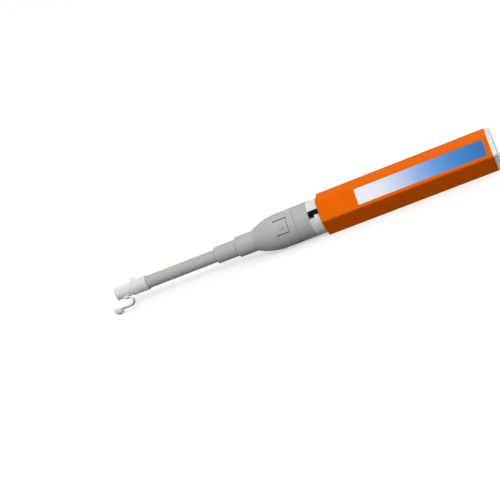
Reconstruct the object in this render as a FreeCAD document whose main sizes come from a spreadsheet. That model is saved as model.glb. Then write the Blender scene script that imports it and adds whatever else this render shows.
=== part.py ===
"""Hexagonal push pen that cleans the end face of a 2.5 mm fibre ferrule.

Frame: millimetres, origin at the centre of the barrel flat that the pen lies on,
+X from the cleaning tip to the push end, +Z up. Pieces are drawn in the pen's own
frame, where X is the pen's axis and +Z faces the label, and are then rolled into place.
"""
import FreeCAD, Part
import math
import os
import re

import Sketcher
from fcgear import fcgear

document = FreeCAD.newDocument("cleaning_pen")
sheet = document.addObject("Spreadsheet::Sheet", "sizes")

# Driving sizes in millimetres, degrees or counts.
SIZES = {
    # barrel, label and rear cap
    "across_flats": 19.0,
    "barrel_length": 86.5,
    "barrel_wall": 0.8,
    "barrel_edge_radius": 1.1,
    "barrel_end_chamfer": 0.35,
    "label_start": 19.9,
    "label_length": 64.2,
    "label_width": 8.0,
    "label_thickness": 0.12,
    "cap_flange": 2.5,
    "cap_inset": 0.25,
    "cap_wall": 1.0,
    "cap_edge_radius": 0.7,
    # fits
    "slide_fit": 0.1,
    "running_fit": 0.06,
    "seat_fit": 0.02,
    "end_gap": 0.2,
    "join_overlap": 0.05,
    "cut_margin": 1.0,
    # travel
    "press_stroke": 10.0,
    "tip_turn": 180.0,
    "extend_travel": 7.0,
    # sleeve and collar
    "sleeve_exposed": 5.5,
    "sleeve_inside": 50.0,
    "sleeve_wall": 1.1,
    "collar_length": 7.5,
    "collar_wall": 0.8,
    "collar_chamfer": 0.25,
    "guide_length": 14.0,
    "guide_wall": 1.0,
    "spigot_depth": 1.2,
    "window_width": 4.3,
    "window_length": 7.5,
    # nozzle moulding
    "skirt_length": 10.6,
    "skirt_wall": 1.2,
    "skirt_chamfer": 0.25,
    "cone_length": 12.4,
    "cone_tip_radius": 5.3,
    "cone_crown_radius": 34.0,
    "rear_tube_length": 10.8,
    "rear_tube_radius": 4.95,
    "middle_tube_length": 12.0,
    "middle_tube_radius": 3.95,
    "front_tube_length": 47.7,
    "front_tube_radius": 2.9,
    "tube_wall": 1.0,
    "shoulder_length": 0.9,
    "head_bore_length": 4.0,
    "head_bore_step": 0.6,
    "tab_width": 7.5,
    "tab_length": 6.8,
    "tab_slot": 0.45,
    "tab_hook_length": 1.0,
    "tab_hook_width": 2.4,
    "tab_hook_height": 0.5,
    "tab_mark_height": 0.25,
    "mark_length": 3.2,
    "mark_width": 4.0,
    "mark_head_length": 1.8,
    "mark_stem_width": 1.6,
    "notch_length": 4.0,
    "notch_width": 3.2,
    # guide cap, strap and lid
    "guide_cap_length": 18.2,
    "guide_cap_radius": 3.5,
    "guide_cap_overlap": 8.8,
    "guide_cap_step": 0.2,
    "guide_cap_shoulder": 1.0,
    "ferrule_bore_radius": 1.27,
    "ferrule_bore_length": 6.6,
    "head_room_radius": 1.6,
    "mouth_chamfer": 0.6,
    "mouth_lip": 0.5,
    "nub_place": 10.0,
    "nub_length": 2.4,
    "nub_width": 1.8,
    "nub_height": 1.8,
    "strap_place": 5.9,
    "strap_thickness": 0.8,
    "strap_width": 2.6,
    "strap_boss": 2.0,
    "strap_bend": 2.2,
    "lid_radius": 2.3,
    "lid_thickness": 2.8,
    "lid_drop": 8.3,
    "lid_forward": 1.5,
    "lid_plug_radius": 0.8,
    "lid_plug_length": 0.5,
    "lid_ear": 0.35,
    "lid_edge_radius": 0.24,
    "lid_dome_radius": 2.0,
    # cleaning shaft, head and cam
    "shaft_square": 1.6,
    "shaft_radius": 0.75,
    "shaft_square_length": 46.0,
    "shaft_end_gap": 2.0,
    "shaft_lap": 1.0,
    "head_radius": 1.2,
    "head_length": 6.7,
    "head_reach": 1.7,
    "head_slot_depth": 0.27,
    "cam_radius": 3.4,
    "cam_groove_depth": 0.9,
    "cam_groove_width": 2.4,
    "cam_groove_margin": 1.0,
    "cam_end_wall": 0.4,
    "cam_tube_radius": 2.2,
    "cam_tube_length": 10.0,
    "journal_radius": 2.0,
    "journal_lip": 0.25,
    "follower_place": 12.0,
    "follower_radius": 0.6,
    "follower_width": 2.4,
    # reel carriage
    "bearing_plate_thickness": 1.5,
    "bearing_boss": 2.2,
    "bearing_boss_radius": 3.3,
    "frame_plate": 0.8,
    "frame_left": 4.2,
    "frame_right": 3.9,
    "frame_left_height": 10.6,
    "frame_right_height": 11.2,
    "tie_hole_height": 3.2,
    "tie_hole_radius": 1.0,
    "spring_seat_thickness": 1.5,
    "spring_seat_bore": 1.5,
    "take_up_place": 26.0,
    "reel_spacing": 13.5,
    "axle_radius": 1.0,
    "axle_head_radius": 1.7,
    "axle_head": 0.5,
    "axle_clip_radius": 1.3,
    "reel_radius": 6.0,
    "reel_width": 4.0,
    "reel_flange": 0.5,
    "reel_hub_radius": 2.6,
    "reel_boss_radius": 1.9,
    "reel_side_gap": 0.3,
    "reel_holes": 5,
    "reel_hole_radius": 0.9,
    "reel_hole_place": 4.3,
    "full_roll_radius": 5.4,
    "used_roll_radius": 3.6,
    "gear_module": 0.5,
    "pinion_teeth": 16,
    "pressure_angle": 20.0,
    "pinion_width": 2.0,
    "backlash": 0.12,
    "rack_teeth": 12,
    "rack_width": 2.2,
    "rail_overlap": 2.0,
    "rail_stop_length": 2.0,
    "rail_stop_rise": 2.0,
    "ratchet_teeth": 12,
    "ratchet_radius": 3.2,
    "ratchet_tooth": 0.5,
    "ratchet_root": 0.7,
    "ratchet_width": 0.8,
    "pawl_place": 7.0,
    "pawl_angle": 130.0,
    "pawl_gap": 0.15,
    "pawl_root": 0.8,
    "pawl_point": 0.6,
    "pawl_width": 0.7,
    "pawl_post_radius": 0.6,
    "washer_radius": 2.4,
    "washer_thickness": 0.4,
    "tape_width": 1.6,
    "tape_thickness": 0.15,
    "tape_slot": 0.7,
    "tape_slot_height": 4.65,
    "tape_lead": 1.0,
    "tip_tape_width": 1.0,
    "guide_pin_radius": 0.5,
    "guide_pin_gap": 0.8,
    "hook_width": 1.7,
    "hook_thickness": 1.0,
    "hook_tooth": 2.0,
    "hook_reach": 2.6,
    "hook_side": 0.4,
    "hook_tooth_gap": 0.3,
    # return spring
    "spring_post_radius": 2.4,
    "spring_post_length": 3.0,
    "spring_radius": 3.3,
    "spring_wire": 0.8,
    "spring_turns": 7.0,
}
for row, (alias, value) in enumerate(SIZES.items(), start=1):
    sheet.set(f"A{row}", alias)
    sheet.set(f"B{row}", str(value))
    sheet.setAlias(f"B{row}", alias)
document.recompute()

# Places and derived sizes, written in terms of the driving sizes and of each other.
PLACES = {
    "axis_height": "across_flats / 2",
    "half_side": "across_flats / (2 * sqrt(3))",
    "front": "-barrel_length / 2",
    "rear": "barrel_length / 2",
    "bore_radius": "across_flats / 2 - barrel_wall",
    "sleeve_radius": "bore_radius - slide_fit",
    "sleeve_bore": "sleeve_radius - sleeve_wall",
    "sleeve_rear": "front + sleeve_inside",
    "collar_rear": "front - sleeve_exposed",
    "seam": "collar_rear - collar_length",
    "spigot_radius": "sleeve_radius - collar_wall",
    "guide_front": "seam - guide_length",
    "guide_radius": "sleeve_radius - skirt_wall - slide_fit",
    "guide_bore": "guide_radius - guide_wall",
    "cone_rear": "seam - skirt_length",
    "cone_front": "cone_rear - cone_length",
    "rear_tube_front": "cone_front - rear_tube_length",
    "middle_tube_front": "rear_tube_front - middle_tube_length",
    "nozzle_front": "middle_tube_front - front_tube_length",
    "tube_bore": "front_tube_radius - tube_wall",
    "guide_cap_rear": "nozzle_front + guide_cap_overlap",
    "mouth": "guide_cap_rear - guide_cap_length",
    "guide_cap_bore": "front_tube_radius + seat_fit",
    "cap_tube_front": "sleeve_rear + press_stroke + end_gap",
    "cap_tube_radius": "bore_radius - seat_fit",
    "follower_x": "front + follower_place",
    "rail_front": "follower_x - follower_width / 2",
    "bearing_front": "follower_x + cam_groove_margin + follower_width / 2 - end_gap",
    "bearing_rear": "bearing_front + bearing_plate_thickness",
    "seat_front": "sleeve_rear - spring_seat_thickness",
    "take_up_x": "front + take_up_place",
    "supply_x": "take_up_x + reel_spacing",
    "pitch_radius": "gear_module * pinion_teeth / 2",
    "rack_left": "reel_side_gap + ratchet_width + slide_fit",
    "rack_right": "rack_left + rack_width",
    "rack_root": "pitch_radius + gear_module * 1.25",
    "tooth_pitch": "gear_module * pi",
    "head_front": "nozzle_front - head_reach",
    "head_rear": "head_front + head_length",
    "hook_rear": "cone_rear + tab_length",
    "tape_y": "(reel_left + reel_right) / 2",
    "reel_left": "-frame_left + reel_side_gap",
    "reel_right": "reel_left + reel_width",
    "cam_front": "follower_x - press_stroke - cam_groove_margin - cam_groove_width / 2 - cam_end_wall",
    "cam_tube_front": "cam_front - cam_tube_length",
    "cam_rear": "bearing_front - slide_fit",
    "journal_rear": "bearing_rear + bearing_boss + slide_fit",
    "shaft_rear": "follower_x - shaft_end_gap",
    "shaft_step": "shaft_rear - shaft_square_length",
    "pawl_x": "take_up_x - pawl_place",
    "pawl_z": "frame_right_height / 2 - pawl_post_radius - slide_fit",
    "pawl_tip": "ratchet_radius + pawl_gap",
    "pawl_tip_x": "take_up_x + pawl_tip * cos(pawl_angle)",
    "pawl_tip_z": "pawl_tip * sin(pawl_angle)",
    "tape_turn": "bearing_rear + tape_lead",
    "tape_rest": "tape_thickness / 2 + slide_fit / 2",
    "pin_x": "take_up_x - reel_radius - guide_pin_gap",
    "upper_slope": "(tape_slot_height - used_roll_radius - tape_rest) / (take_up_x - tape_turn)",
    "lower_slope": "(full_roll_radius + tape_rest - tape_slot_height) / (supply_x - tape_turn)",
    "pin_lift": "tape_thickness / 2 + 2 * seat_fit + guide_pin_radius",
    "inner_shoulder": "shoulder_length + end_gap",
    "strap_x": "mouth + strap_place",
    "strap_loop": "lid_drop - strap_bend",
    "strap_top": "strap_loop - strap_bend + strap_thickness / 2",
    "lid_x": "mouth - lid_forward",
    "lid_edge": "lid_x + lid_radius + lid_ear",
    "lid_rim": "lid_drop - strap_thickness / 2",
    "lid_foot": "lid_rim + lid_thickness",
}


def bind(text):
    """Turn names of places and sizes into an expression on the sheet's cells."""
    def swap(match):
        word = match.group(0)
        if word in PLACES:
            return "(" + bind(PLACES[word]) + ")"
        if word in SIZES:
            return "sizes." + word
        return word
    return re.sub(r"[a-z_]+[a-z0-9_]*", swap, str(text))


def size(text):
    """The present value of an expression, in millimetres."""
    return float(sheet.evalExpression(bind(text)))


X_AXIS = FreeCAD.Vector(1, 0, 0)
Z_AXIS = FreeCAD.Vector(0, 0, 1)
PEN_ROLL = 60.0
CAP_ROLL = -35.0
REEL_TURN = FreeCAD.Rotation(Z_AXIS, 90)

pieces = []


def lay(piece, roll=PEN_ROLL, along="0", turn=FreeCAD.Rotation()):
    """Put a piece on the pen's axis, rolled about it and moved along it."""
    piece.Placement = FreeCAD.Placement(
        FreeCAD.Vector(size(along), 0, size("axis_height")),
        FreeCAD.Rotation(X_AXIS, roll).multiply(turn),
    )
    piece.setExpression("Placement.Base.x", bind(along))
    piece.setExpression("Placement.Base.z", bind("axis_height"))


def new_piece(name, roll=PEN_ROLL, along="0", turn=FreeCAD.Rotation()):
    """A PartDesign body that is exported under its own name."""
    piece = document.addObject("PartDesign::Body", name)
    piece.Label = name
    lay(piece, roll, along, turn)
    pieces.append(piece)
    return piece


def origin_part(piece, role):
    """One of the body's own origin planes or axes."""
    return next(f for f in piece.Origin.OriginFeatures if f.Role == role)


def new_sketch(piece, plane, offset="0"):
    sketch = piece.newObject("Sketcher::SketchObject", piece.Name + "_sketch")
    sketch.AttachmentSupport = [(origin_part(piece, plane), "")]
    sketch.MapMode = "FlatFace"
    sketch.setExpression("AttachmentOffset.Base.z", bind(offset))
    return sketch


def pin_point(sketch, edge, end, point):
    """Tie a sketch point to the sheet by its distances from the origin."""
    for kind, text in zip(("DistanceX", "DistanceY"), point):
        number = sketch.addConstraint(
            Sketcher.Constraint(kind, -1, 1, edge, end, size(text))
        )
        sketch.setExpression(f"Constraints[{number}]", bind(text))


def arc_through(start, end, radius):
    """Arc between two points; a positive radius bulges to the left of the way."""
    chord = end - start
    half = chord.Length / 2
    side = FreeCAD.Vector(-chord.y, chord.x, 0).normalize()
    rise = abs(radius) - math.sqrt(radius**2 - half**2)
    middle = (start + end) / 2 + side * math.copysign(rise, radius)
    if radius > 0:
        return Part.ArcOfCircle(end, middle, start)
    return Part.ArcOfCircle(start, middle, end)


def outline(piece, plane, points, arcs=None, offset="0", closed=True):
    """Sketch through points; arcs maps an edge's number to (sign, radius name)."""
    sketch = new_sketch(piece, plane, offset)
    arcs = arcs or {}
    spots = [FreeCAD.Vector(size(a), size(b), 0) for a, b in points]
    count = len(points) if closed else len(points) - 1
    ends = {}
    for i in range(count):
        start = spots[i]
        end = spots[(i + 1) % len(spots)]
        if i in arcs:
            sign, radius = arcs[i]
            sketch.addGeometry(arc_through(start, end, sign * size(radius)))
            ends[i] = (2, 1) if sign > 0 else (1, 2)
            number = sketch.addConstraint(Sketcher.Constraint("Radius", i, size(radius)))
            sketch.setExpression(f"Constraints[{number}]", bind(radius))
        else:
            ends[i] = (1, 2)
            sketch.addGeometry(Part.LineSegment(start, end))
    for i in range(count):
        follower = (i + 1) % count
        if closed or follower:
            sketch.addConstraint(
                Sketcher.Constraint("Coincident", i, ends[i][1], follower, ends[follower][0])
            )
        pin_point(sketch, i, ends[i][0], points[i])
    if not closed:
        pin_point(sketch, count - 1, ends[count - 1][1], points[-1])
    return sketch


def circles(piece, plane, spots, offset="0"):
    """Sketch of circles given as (across, up, radius)."""
    sketch = new_sketch(piece, plane, offset)
    for i, (across, up, radius) in enumerate(spots):
        centre = FreeCAD.Vector(size(across), size(up), 0)
        sketch.addGeometry(Part.Circle(centre, Z_AXIS, size(radius)))
        if size(across) or size(up):
            pin_point(sketch, i, 3, (across, up))
        else:
            sketch.addConstraint(Sketcher.Constraint("Coincident", i, 3, -1, 1))
        number = sketch.addConstraint(Sketcher.Constraint("Radius", i, size(radius)))
        sketch.setExpression(f"Constraints[{number}]", bind(radius))
    return sketch


def grown(piece, feature, grows):
    """Recompute and make sure that the feature added or removed material."""
    before = piece.Tip.Shape.Volume if piece.Tip is not feature and piece.Tip else None
    document.recompute()
    after = feature.Shape.Volume
    base = feature.BaseFeature.Shape.Volume if feature.BaseFeature else before
    if base is not None and grows and after <= base + 1e-6:
        raise RuntimeError(f"{feature.Name} adds nothing to {piece.Label}")
    if base is not None and not grows and after >= base - 1e-6:
        raise RuntimeError(f"{feature.Name} cuts nothing from {piece.Label}")
    return feature


def pad(piece, sketch, length):
    """Raise a sketch along its plane's normal."""
    feature = piece.newObject("PartDesign::Pad", piece.Name + "_pad")
    feature.Profile = sketch
    feature.setExpression("Length", bind(length))
    return grown(piece, feature, True)


def pocket(piece, sketch, length):
    """Cut a sketch along its plane's normal."""
    feature = piece.newObject("PartDesign::Pocket", piece.Name + "_pocket")
    feature.Profile = sketch
    feature.Reversed = True
    feature.setExpression("Length", bind(length))
    return grown(piece, feature, False)


def box(piece, x, y, z, cut=False):
    """A block between two places along each axis, added or cut away."""
    corners = [(x[0], y[0]), (x[1], y[0]), (x[1], y[1]), (x[0], y[1])]
    sketch = outline(piece, "XY_Plane", corners, offset=z[0])
    height = f"({z[1]}) - ({z[0]})"
    return pocket(piece, sketch, height) if cut else pad(piece, sketch, height)


def turned(piece, points, arcs=None, groove=False):
    """Revolve an outline of (along, radius) points about the body's X axis."""
    sketch = outline(piece, "XZ_Plane", points, arcs)
    kind = "Groove" if groove else "Revolution"
    feature = piece.newObject("PartDesign::" + kind, piece.Name + "_turned")
    feature.Profile = sketch
    feature.ReferenceAxis = (sketch, ["H_Axis"])
    feature.Angle = 360
    return grown(piece, feature, not groove)


def ring_points(low, high, inner, outer, chamfer=None):
    """Outline of a plain ring, with its outer edges chamfered if asked."""
    if chamfer is None:
        return [(low, inner), (low, outer), (high, outer), (high, inner)]
    return [
        (low, inner),
        (low, f"{outer} - {chamfer}"),
        (f"{low} + {chamfer}", outer),
        (f"{high} - {chamfer}", outer),
        (high, f"{outer} - {chamfer}"),
        (high, inner),
    ]


def rounded(piece, kind, edges, length):
    """Fillet or chamfer the edges of the body's last feature."""
    base = piece.Tip
    feature = piece.newObject("PartDesign::" + kind, piece.Name + "_edges")
    feature.Base = (base, edges)
    feature.setExpression("Radius" if kind == "Fillet" else "Size", bind(length))
    document.recompute()
    return feature


def edges_where(piece, test):
    """Names of the edges of the body's last shape that pass a test."""
    return [f"Edge{i}" for i, edge in enumerate(piece.Tip.Shape.Edges, 1) if test(edge)]


def hexagon(inset):
    """Corners of the barrel's hexagon, drawn inwards by an inset, seen along X."""
    corner = f"(half_side - {inset} / sqrt(3))"
    flat = f"(axis_height - {inset})"
    return [
        (f"2 * {corner}", "0"),
        (corner, flat),
        (f"-{corner}", flat),
        (f"-2 * {corner}", "0"),
        (f"-{corner}", f"-{flat}"),
        (corner, f"-{flat}"),
    ]


# --- Barrel: one orange moulding that is gripped and pushed ---------------------------
barrel = new_piece("barrel")
pad(barrel, outline(barrel, "YZ_Plane", hexagon("0"), offset="front"), "barrel_length")
long_edges = edges_where(barrel, lambda edge: edge.Length > size("barrel_length") - 0.01)
rounded(barrel, "Fillet", long_edges, "barrel_edge_radius")
end_edges = edges_where(barrel, lambda edge: edge.BoundBox.XLength < 0.01)
rounded(barrel, "Chamfer", end_edges, "barrel_end_chamfer")
pocket(barrel, circles(barrel, "YZ_Plane", [("0", "0", "bore_radius")], "front"), "barrel_length")
box(
    barrel,
    ("front + label_start", "front + label_start + label_length"),
    ("-label_width / 2", "label_width / 2"),
    ("axis_height - label_thickness", "axis_height + cut_margin"),
    cut=True,
)

# --- Label: a printed sticker set flush in the top flat -------------------------------
label = new_piece("label")
box(
    label,
    ("front + label_start + seat_fit", "front + label_start + label_length - seat_fit"),
    ("-label_width / 2 + seat_fit", "label_width / 2 - seat_fit"),
    ("axis_height - label_thickness", "axis_height"),
)

# --- Rear cap: hexagonal plug whose tube stops the carriage and holds the spring ------
rear_cap = new_piece("rear_cap")
pad(rear_cap, outline(rear_cap, "YZ_Plane", hexagon("cap_inset"), offset="rear"), "cap_flange")
cap_corners = edges_where(
    rear_cap, lambda edge: abs(edge.BoundBox.XLength - size("cap_flange")) < 0.01
)
rounded(rear_cap, "Fillet", cap_corners, "barrel_edge_radius")
back_edges = edges_where(
    rear_cap, lambda edge: edge.BoundBox.XMin > size("rear + cap_flange") - 0.01
)
rounded(rear_cap, "Fillet", back_edges, "cap_edge_radius")
turned(
    rear_cap,
    ring_points(
        "cap_tube_front", "rear + join_overlap", "cap_tube_radius - cap_wall", "cap_tube_radius"
    ),
)
box(
    rear_cap,
    ("cap_tube_front - cut_margin", "cap_tube_front + rail_overlap + end_gap"),
    ("rack_left - end_gap", "rack_right + end_gap"),
    ("-axis_height", "-pitch_radius"),
    cut=True,
)
post = circles(rear_cap, "YZ_Plane", [("0", "0", "spring_post_radius")], "rear - spring_post_length")
pad(rear_cap, post, "spring_post_length + cap_flange / 2")

# --- Drive rack: rail seated in the bore, its teeth turn the take-up pinion -----------
drive_rack = new_piece("drive_rack")
rail = outline(
    drive_rack,
    "YZ_Plane",
    [
        ("rack_left", "-rack_root"),
        ("rack_left", "-sqrt(bore_radius^2 - rack_left^2)"),
        ("rack_right", "-sqrt(bore_radius^2 - rack_right^2)"),
        ("rack_right", "-rack_root"),
    ],
    {1: (-1, "bore_radius")},
    offset="rail_front",
)
pad(drive_rack, rail, "cap_tube_front + rail_overlap - rail_front")
box(
    drive_rack,
    ("seat_front - slide_fit - rail_stop_length", "seat_front - slide_fit"),
    ("rack_left", "rack_right"),
    ("-rack_root - join_overlap", "-rack_root + rail_stop_rise"),
)
tooth_half = "(tooth_pitch / 4 - backlash / 2)"
tooth_foot = "((rack_root + join_overlap - pitch_radius) * tan(pressure_angle))"
tooth_tip = "(gear_module * tan(pressure_angle))"
first_tooth = "(take_up_x - 2.5 * tooth_pitch)"
tooth = outline(
    drive_rack,
    "XZ_Plane",
    [
        (f"{first_tooth} - {tooth_half} - {tooth_foot}", "-rack_root - join_overlap"),
        (f"{first_tooth} - {tooth_half} + {tooth_tip}", "-pitch_radius + gear_module"),
        (f"{first_tooth} + {tooth_half} - {tooth_tip}", "-pitch_radius + gear_module"),
        (f"{first_tooth} + {tooth_half} + {tooth_foot}", "-rack_root - join_overlap"),
    ],
    offset="-rack_right",
)
tooth_pad = pad(drive_rack, tooth, "rack_width")
teeth = drive_rack.newObject("PartDesign::LinearPattern", "rack_teeth_row")
teeth.Originals = [tooth_pad]
teeth.Direction = (origin_part(drive_rack, "X_Axis"), [""])
teeth.setExpression("Length", bind("(rack_teeth - 1) * tooth_pitch"))
teeth.setExpression("Occurrences", bind("rack_teeth"))
drive_rack.Tip = teeth
document.recompute()

# --- Cam follower: block on the rail whose pin rides in the cam's helical groove ------
cam_follower = new_piece("cam_follower")
box(
    cam_follower,
    ("follower_x - follower_width / 2", "follower_x + follower_width / 2"),
    ("-follower_radius - end_gap", "rack_left"),
    ("-bore_radius + end_gap", "-cam_radius - follower_radius"),
)
pin = circles(
    cam_follower, "XY_Plane", [("follower_x", "0", "follower_radius")], "-cam_radius - follower_radius"
)
pad(cam_follower, pin, "follower_radius + cam_groove_depth - end_gap")

# --- Inner sleeve: white carriage tube with the window and the nozzle's guide ---------
inner_sleeve = new_piece("inner_sleeve")
turned(
    inner_sleeve,
    [
        ("guide_front", "guide_bore"),
        ("guide_front", "guide_radius - collar_chamfer"),
        ("guide_front + collar_chamfer", "guide_radius"),
        ("seam + end_gap", "guide_radius"),
        ("seam + end_gap", "spigot_radius"),
        ("collar_rear", "spigot_radius"),
        ("collar_rear", "sleeve_radius"),
        ("sleeve_rear", "sleeve_radius"),
        ("sleeve_rear", "sleeve_bore"),
        ("collar_rear + spigot_depth", "sleeve_bore"),
        ("collar_rear + spigot_depth", "guide_bore"),
    ],
)
box(
    inner_sleeve,
    ("collar_rear", "collar_rear + window_length"),
    ("-window_width / 2", "window_width / 2"),
    ("guide_bore - cut_margin", "axis_height"),
    cut=True,
)
box(
    inner_sleeve,
    ("rail_front - press_stroke - end_gap / 2", "sleeve_rear + cut_margin"),
    ("-follower_radius - cut_margin", "rack_right + 2 * end_gap"),
    ("-axis_height", "-cam_radius - cut_margin"),
    cut=True,
)
box(
    inner_sleeve,
    (
        "hook_rear - tab_hook_length - extend_travel - slide_fit",
        "hook_rear + slide_fit",
    ),
    ("-tab_hook_width / 2 - slide_fit", "tab_hook_width / 2 + slide_fit"),
    ("guide_bore - cut_margin", "axis_height"),
    cut=True,
)

# --- Collar: grey ring on the sleeve's spigot -----------------------------------------
collar = new_piece("collar")
turned(
    collar,
    ring_points(
        "seam + seat_fit", "collar_rear", "spigot_radius + seat_fit", "sleeve_radius", "collar_chamfer"
    ),
)
document.recompute()

# --- Nozzle: grey moulding of skirt, crowned cone and three stepped tubes -------------
nozzle = new_piece("nozzle")
turned(
    nozzle,
    [
        ("seam", "guide_radius + slide_fit"),
        ("seam", "sleeve_radius - skirt_chamfer"),
        ("seam - skirt_chamfer", "sleeve_radius"),
        ("cone_rear", "sleeve_radius"),
        ("cone_front", "cone_tip_radius"),
        ("cone_front", "rear_tube_radius"),
        ("rear_tube_front + shoulder_length", "rear_tube_radius"),
        ("rear_tube_front", "middle_tube_radius"),
        ("middle_tube_front + shoulder_length", "middle_tube_radius"),
        ("middle_tube_front", "front_tube_radius"),
        ("nozzle_front", "front_tube_radius"),
        ("nozzle_front", "head_radius + slide_fit"),
        ("nozzle_front + head_bore_length", "head_radius + slide_fit"),
        ("nozzle_front + head_bore_length + head_bore_step", "tube_bore"),
        ("middle_tube_front", "tube_bore"),
        ("middle_tube_front + inner_shoulder", "middle_tube_radius - tube_wall"),
        ("rear_tube_front", "middle_tube_radius - tube_wall"),
        ("rear_tube_front + inner_shoulder", "rear_tube_radius - tube_wall"),
        ("cone_front", "rear_tube_radius - tube_wall"),
        ("guide_front - slide_fit", "guide_radius + slide_fit"),
    ],
    {3: (-1, "cone_crown_radius")},
)
for side in (1, -1):
    box(
        nozzle,
        ("cone_rear", "hook_rear + tab_slot"),
        (f"{side} * tab_width / 2 - tab_slot / 2", f"{side} * tab_width / 2 + tab_slot / 2"),
        ("guide_bore - cut_margin", "axis_height"),
        cut=True,
    )
box(
    nozzle,
    ("hook_rear", "hook_rear + tab_slot"),
    ("-tab_width / 2", "tab_width / 2"),
    ("guide_bore - cut_margin", "axis_height"),
    cut=True,
)
for low, high in (("-axis_height", "-guide_bore"), ("guide_bore", "axis_height")):
    box(
        nozzle,
        ("seam - notch_length", "seam + cut_margin"),
        (low, high),
        ("-notch_width / 2", "notch_width / 2"),
        cut=True,
    )
box(
    nozzle,
    ("hook_rear - tab_hook_length", "hook_rear"),
    ("-tab_hook_width / 2", "tab_hook_width / 2"),
    ("guide_radius + slide_fit - tab_hook_height", "guide_radius + slide_fit + skirt_wall / 2"),
)
mark_tip = "(cone_rear + tab_length / 2 - mark_length / 2)"
mark_neck = f"{mark_tip} + mark_head_length"
mark = outline(
    nozzle,
    "XY_Plane",
    [
        (mark_tip, "0"),
        (mark_neck, "mark_width / 2"),
        (mark_neck, "mark_stem_width / 2"),
        (f"{mark_tip} + mark_length", "mark_stem_width / 2"),
        (f"{mark_tip} + mark_length", "-mark_stem_width / 2"),
        (mark_neck, "-mark_stem_width / 2"),
        (mark_neck, "-mark_width / 2"),
    ],
    offset="sleeve_radius - skirt_wall / 2",
)
pad(nozzle, mark, "skirt_wall / 2 + tab_mark_height")

# --- Guide cap: translucent push-on cap that centres a ferrule over the head ----------
guide_cap = new_piece("guide_cap", CAP_ROLL)
turned(
    guide_cap,
    [
        ("mouth", "ferrule_bore_radius + mouth_chamfer"),
        ("mouth", "guide_cap_radius - guide_cap_step"),
        ("mouth + mouth_lip", "guide_cap_radius - guide_cap_step"),
        ("mouth + mouth_lip", "guide_cap_radius - 2 * guide_cap_step"),
        ("nozzle_front - guide_cap_shoulder", "guide_cap_radius - 2 * guide_cap_step"),
        ("nozzle_front - guide_cap_shoulder + guide_cap_step", "guide_cap_radius"),
        ("guide_cap_rear - guide_cap_step", "guide_cap_radius"),
        ("guide_cap_rear", "guide_cap_radius - guide_cap_step"),
        ("guide_cap_rear", "guide_cap_bore"),
        ("nozzle_front - slide_fit", "guide_cap_bore"),
        ("nozzle_front - slide_fit", "head_room_radius"),
        ("mouth + mouth_chamfer + ferrule_bore_length", "head_room_radius"),
        ("mouth + mouth_chamfer + ferrule_bore_length", "ferrule_bore_radius"),
        ("mouth + mouth_chamfer", "ferrule_bore_radius"),
    ],
)
nub_middle = "mouth + nub_place"
box(
    guide_cap,
    (f"{nub_middle} - nub_length / 2", f"{nub_middle} + nub_length / 2"),
    ("-nub_width / 2", "nub_width / 2"),
    ("guide_cap_bore + guide_cap_step", "guide_cap_radius + nub_height"),
)
nub_edges = edges_where(
    guide_cap,
    lambda edge: edge.BoundBox.ZMin > size("guide_cap_radius + nub_height") - 0.01,
)
rounded(guide_cap, "Fillet", nub_edges, "nub_width / 3")
box(
    guide_cap,
    ("strap_x - strap_boss", "strap_x"),
    ("-strap_width / 2 - slide_fit", "strap_width / 2 + slide_fit"),
    ("-strap_top", "-guide_cap_radius + 5 * guide_cap_step"),
)

# --- Strap: thin moulded band that loops rearwards from the cap and back under it ------
cap_strap = new_piece("cap_strap", CAP_ROLL)
strap_side = outline(
    cap_strap,
    "XZ_Plane",
    [
        ("strap_x", "-strap_top + strap_thickness"),
        ("strap_x + strap_bend + strap_thickness / 2", "-strap_loop"),
        ("strap_x", "-lid_drop - strap_thickness / 2"),
        ("lid_edge", "-lid_drop - strap_thickness / 2"),
        ("lid_edge", "-lid_rim"),
        ("strap_x", "-lid_rim"),
        ("strap_x + strap_bend - strap_thickness / 2", "-strap_loop"),
        ("strap_x", "-strap_top"),
    ],
    {
        0: (1, "strap_bend + strap_thickness / 2"),
        1: (1, "strap_bend + strap_thickness / 2"),
        5: (-1, "strap_bend - strap_thickness / 2"),
        6: (-1, "strap_bend - strap_thickness / 2"),
    },
    offset="-strap_width / 2",
)
pad(cap_strap, strap_side, "strap_width")

# --- Flip lid: domed lid on the strap's end, hanging open ------------------------------
flip_lid = new_piece("flip_lid", CAP_ROLL)
pad(
    flip_lid,
    circles(flip_lid, "XY_Plane", [("lid_x", "0", "lid_radius")], "-lid_foot"),
    "lid_thickness",
)
lid_foot_edge = edges_where(flip_lid, lambda edge: edge.BoundBox.ZMax < size("-lid_foot") + 0.01)
rounded(flip_lid, "Fillet", lid_foot_edge, "lid_dome_radius")
lid_rim_edge = edges_where(flip_lid, lambda edge: edge.BoundBox.ZMin > size("-lid_rim") - 0.01)
rounded(flip_lid, "Fillet", lid_rim_edge, "lid_edge_radius")
pad(
    flip_lid,
    circles(flip_lid, "XY_Plane", [("lid_x", "0", "lid_plug_radius")], "-lid_drop"),
    "strap_thickness / 2 + lid_plug_length",
)
box(
    flip_lid,
    ("lid_x + lid_radius / 2", "lid_edge - seat_fit"),
    ("-strap_width / 2", "strap_width / 2"),
    ("-lid_drop - strap_thickness / 2", "-lid_rim"),
)

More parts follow.
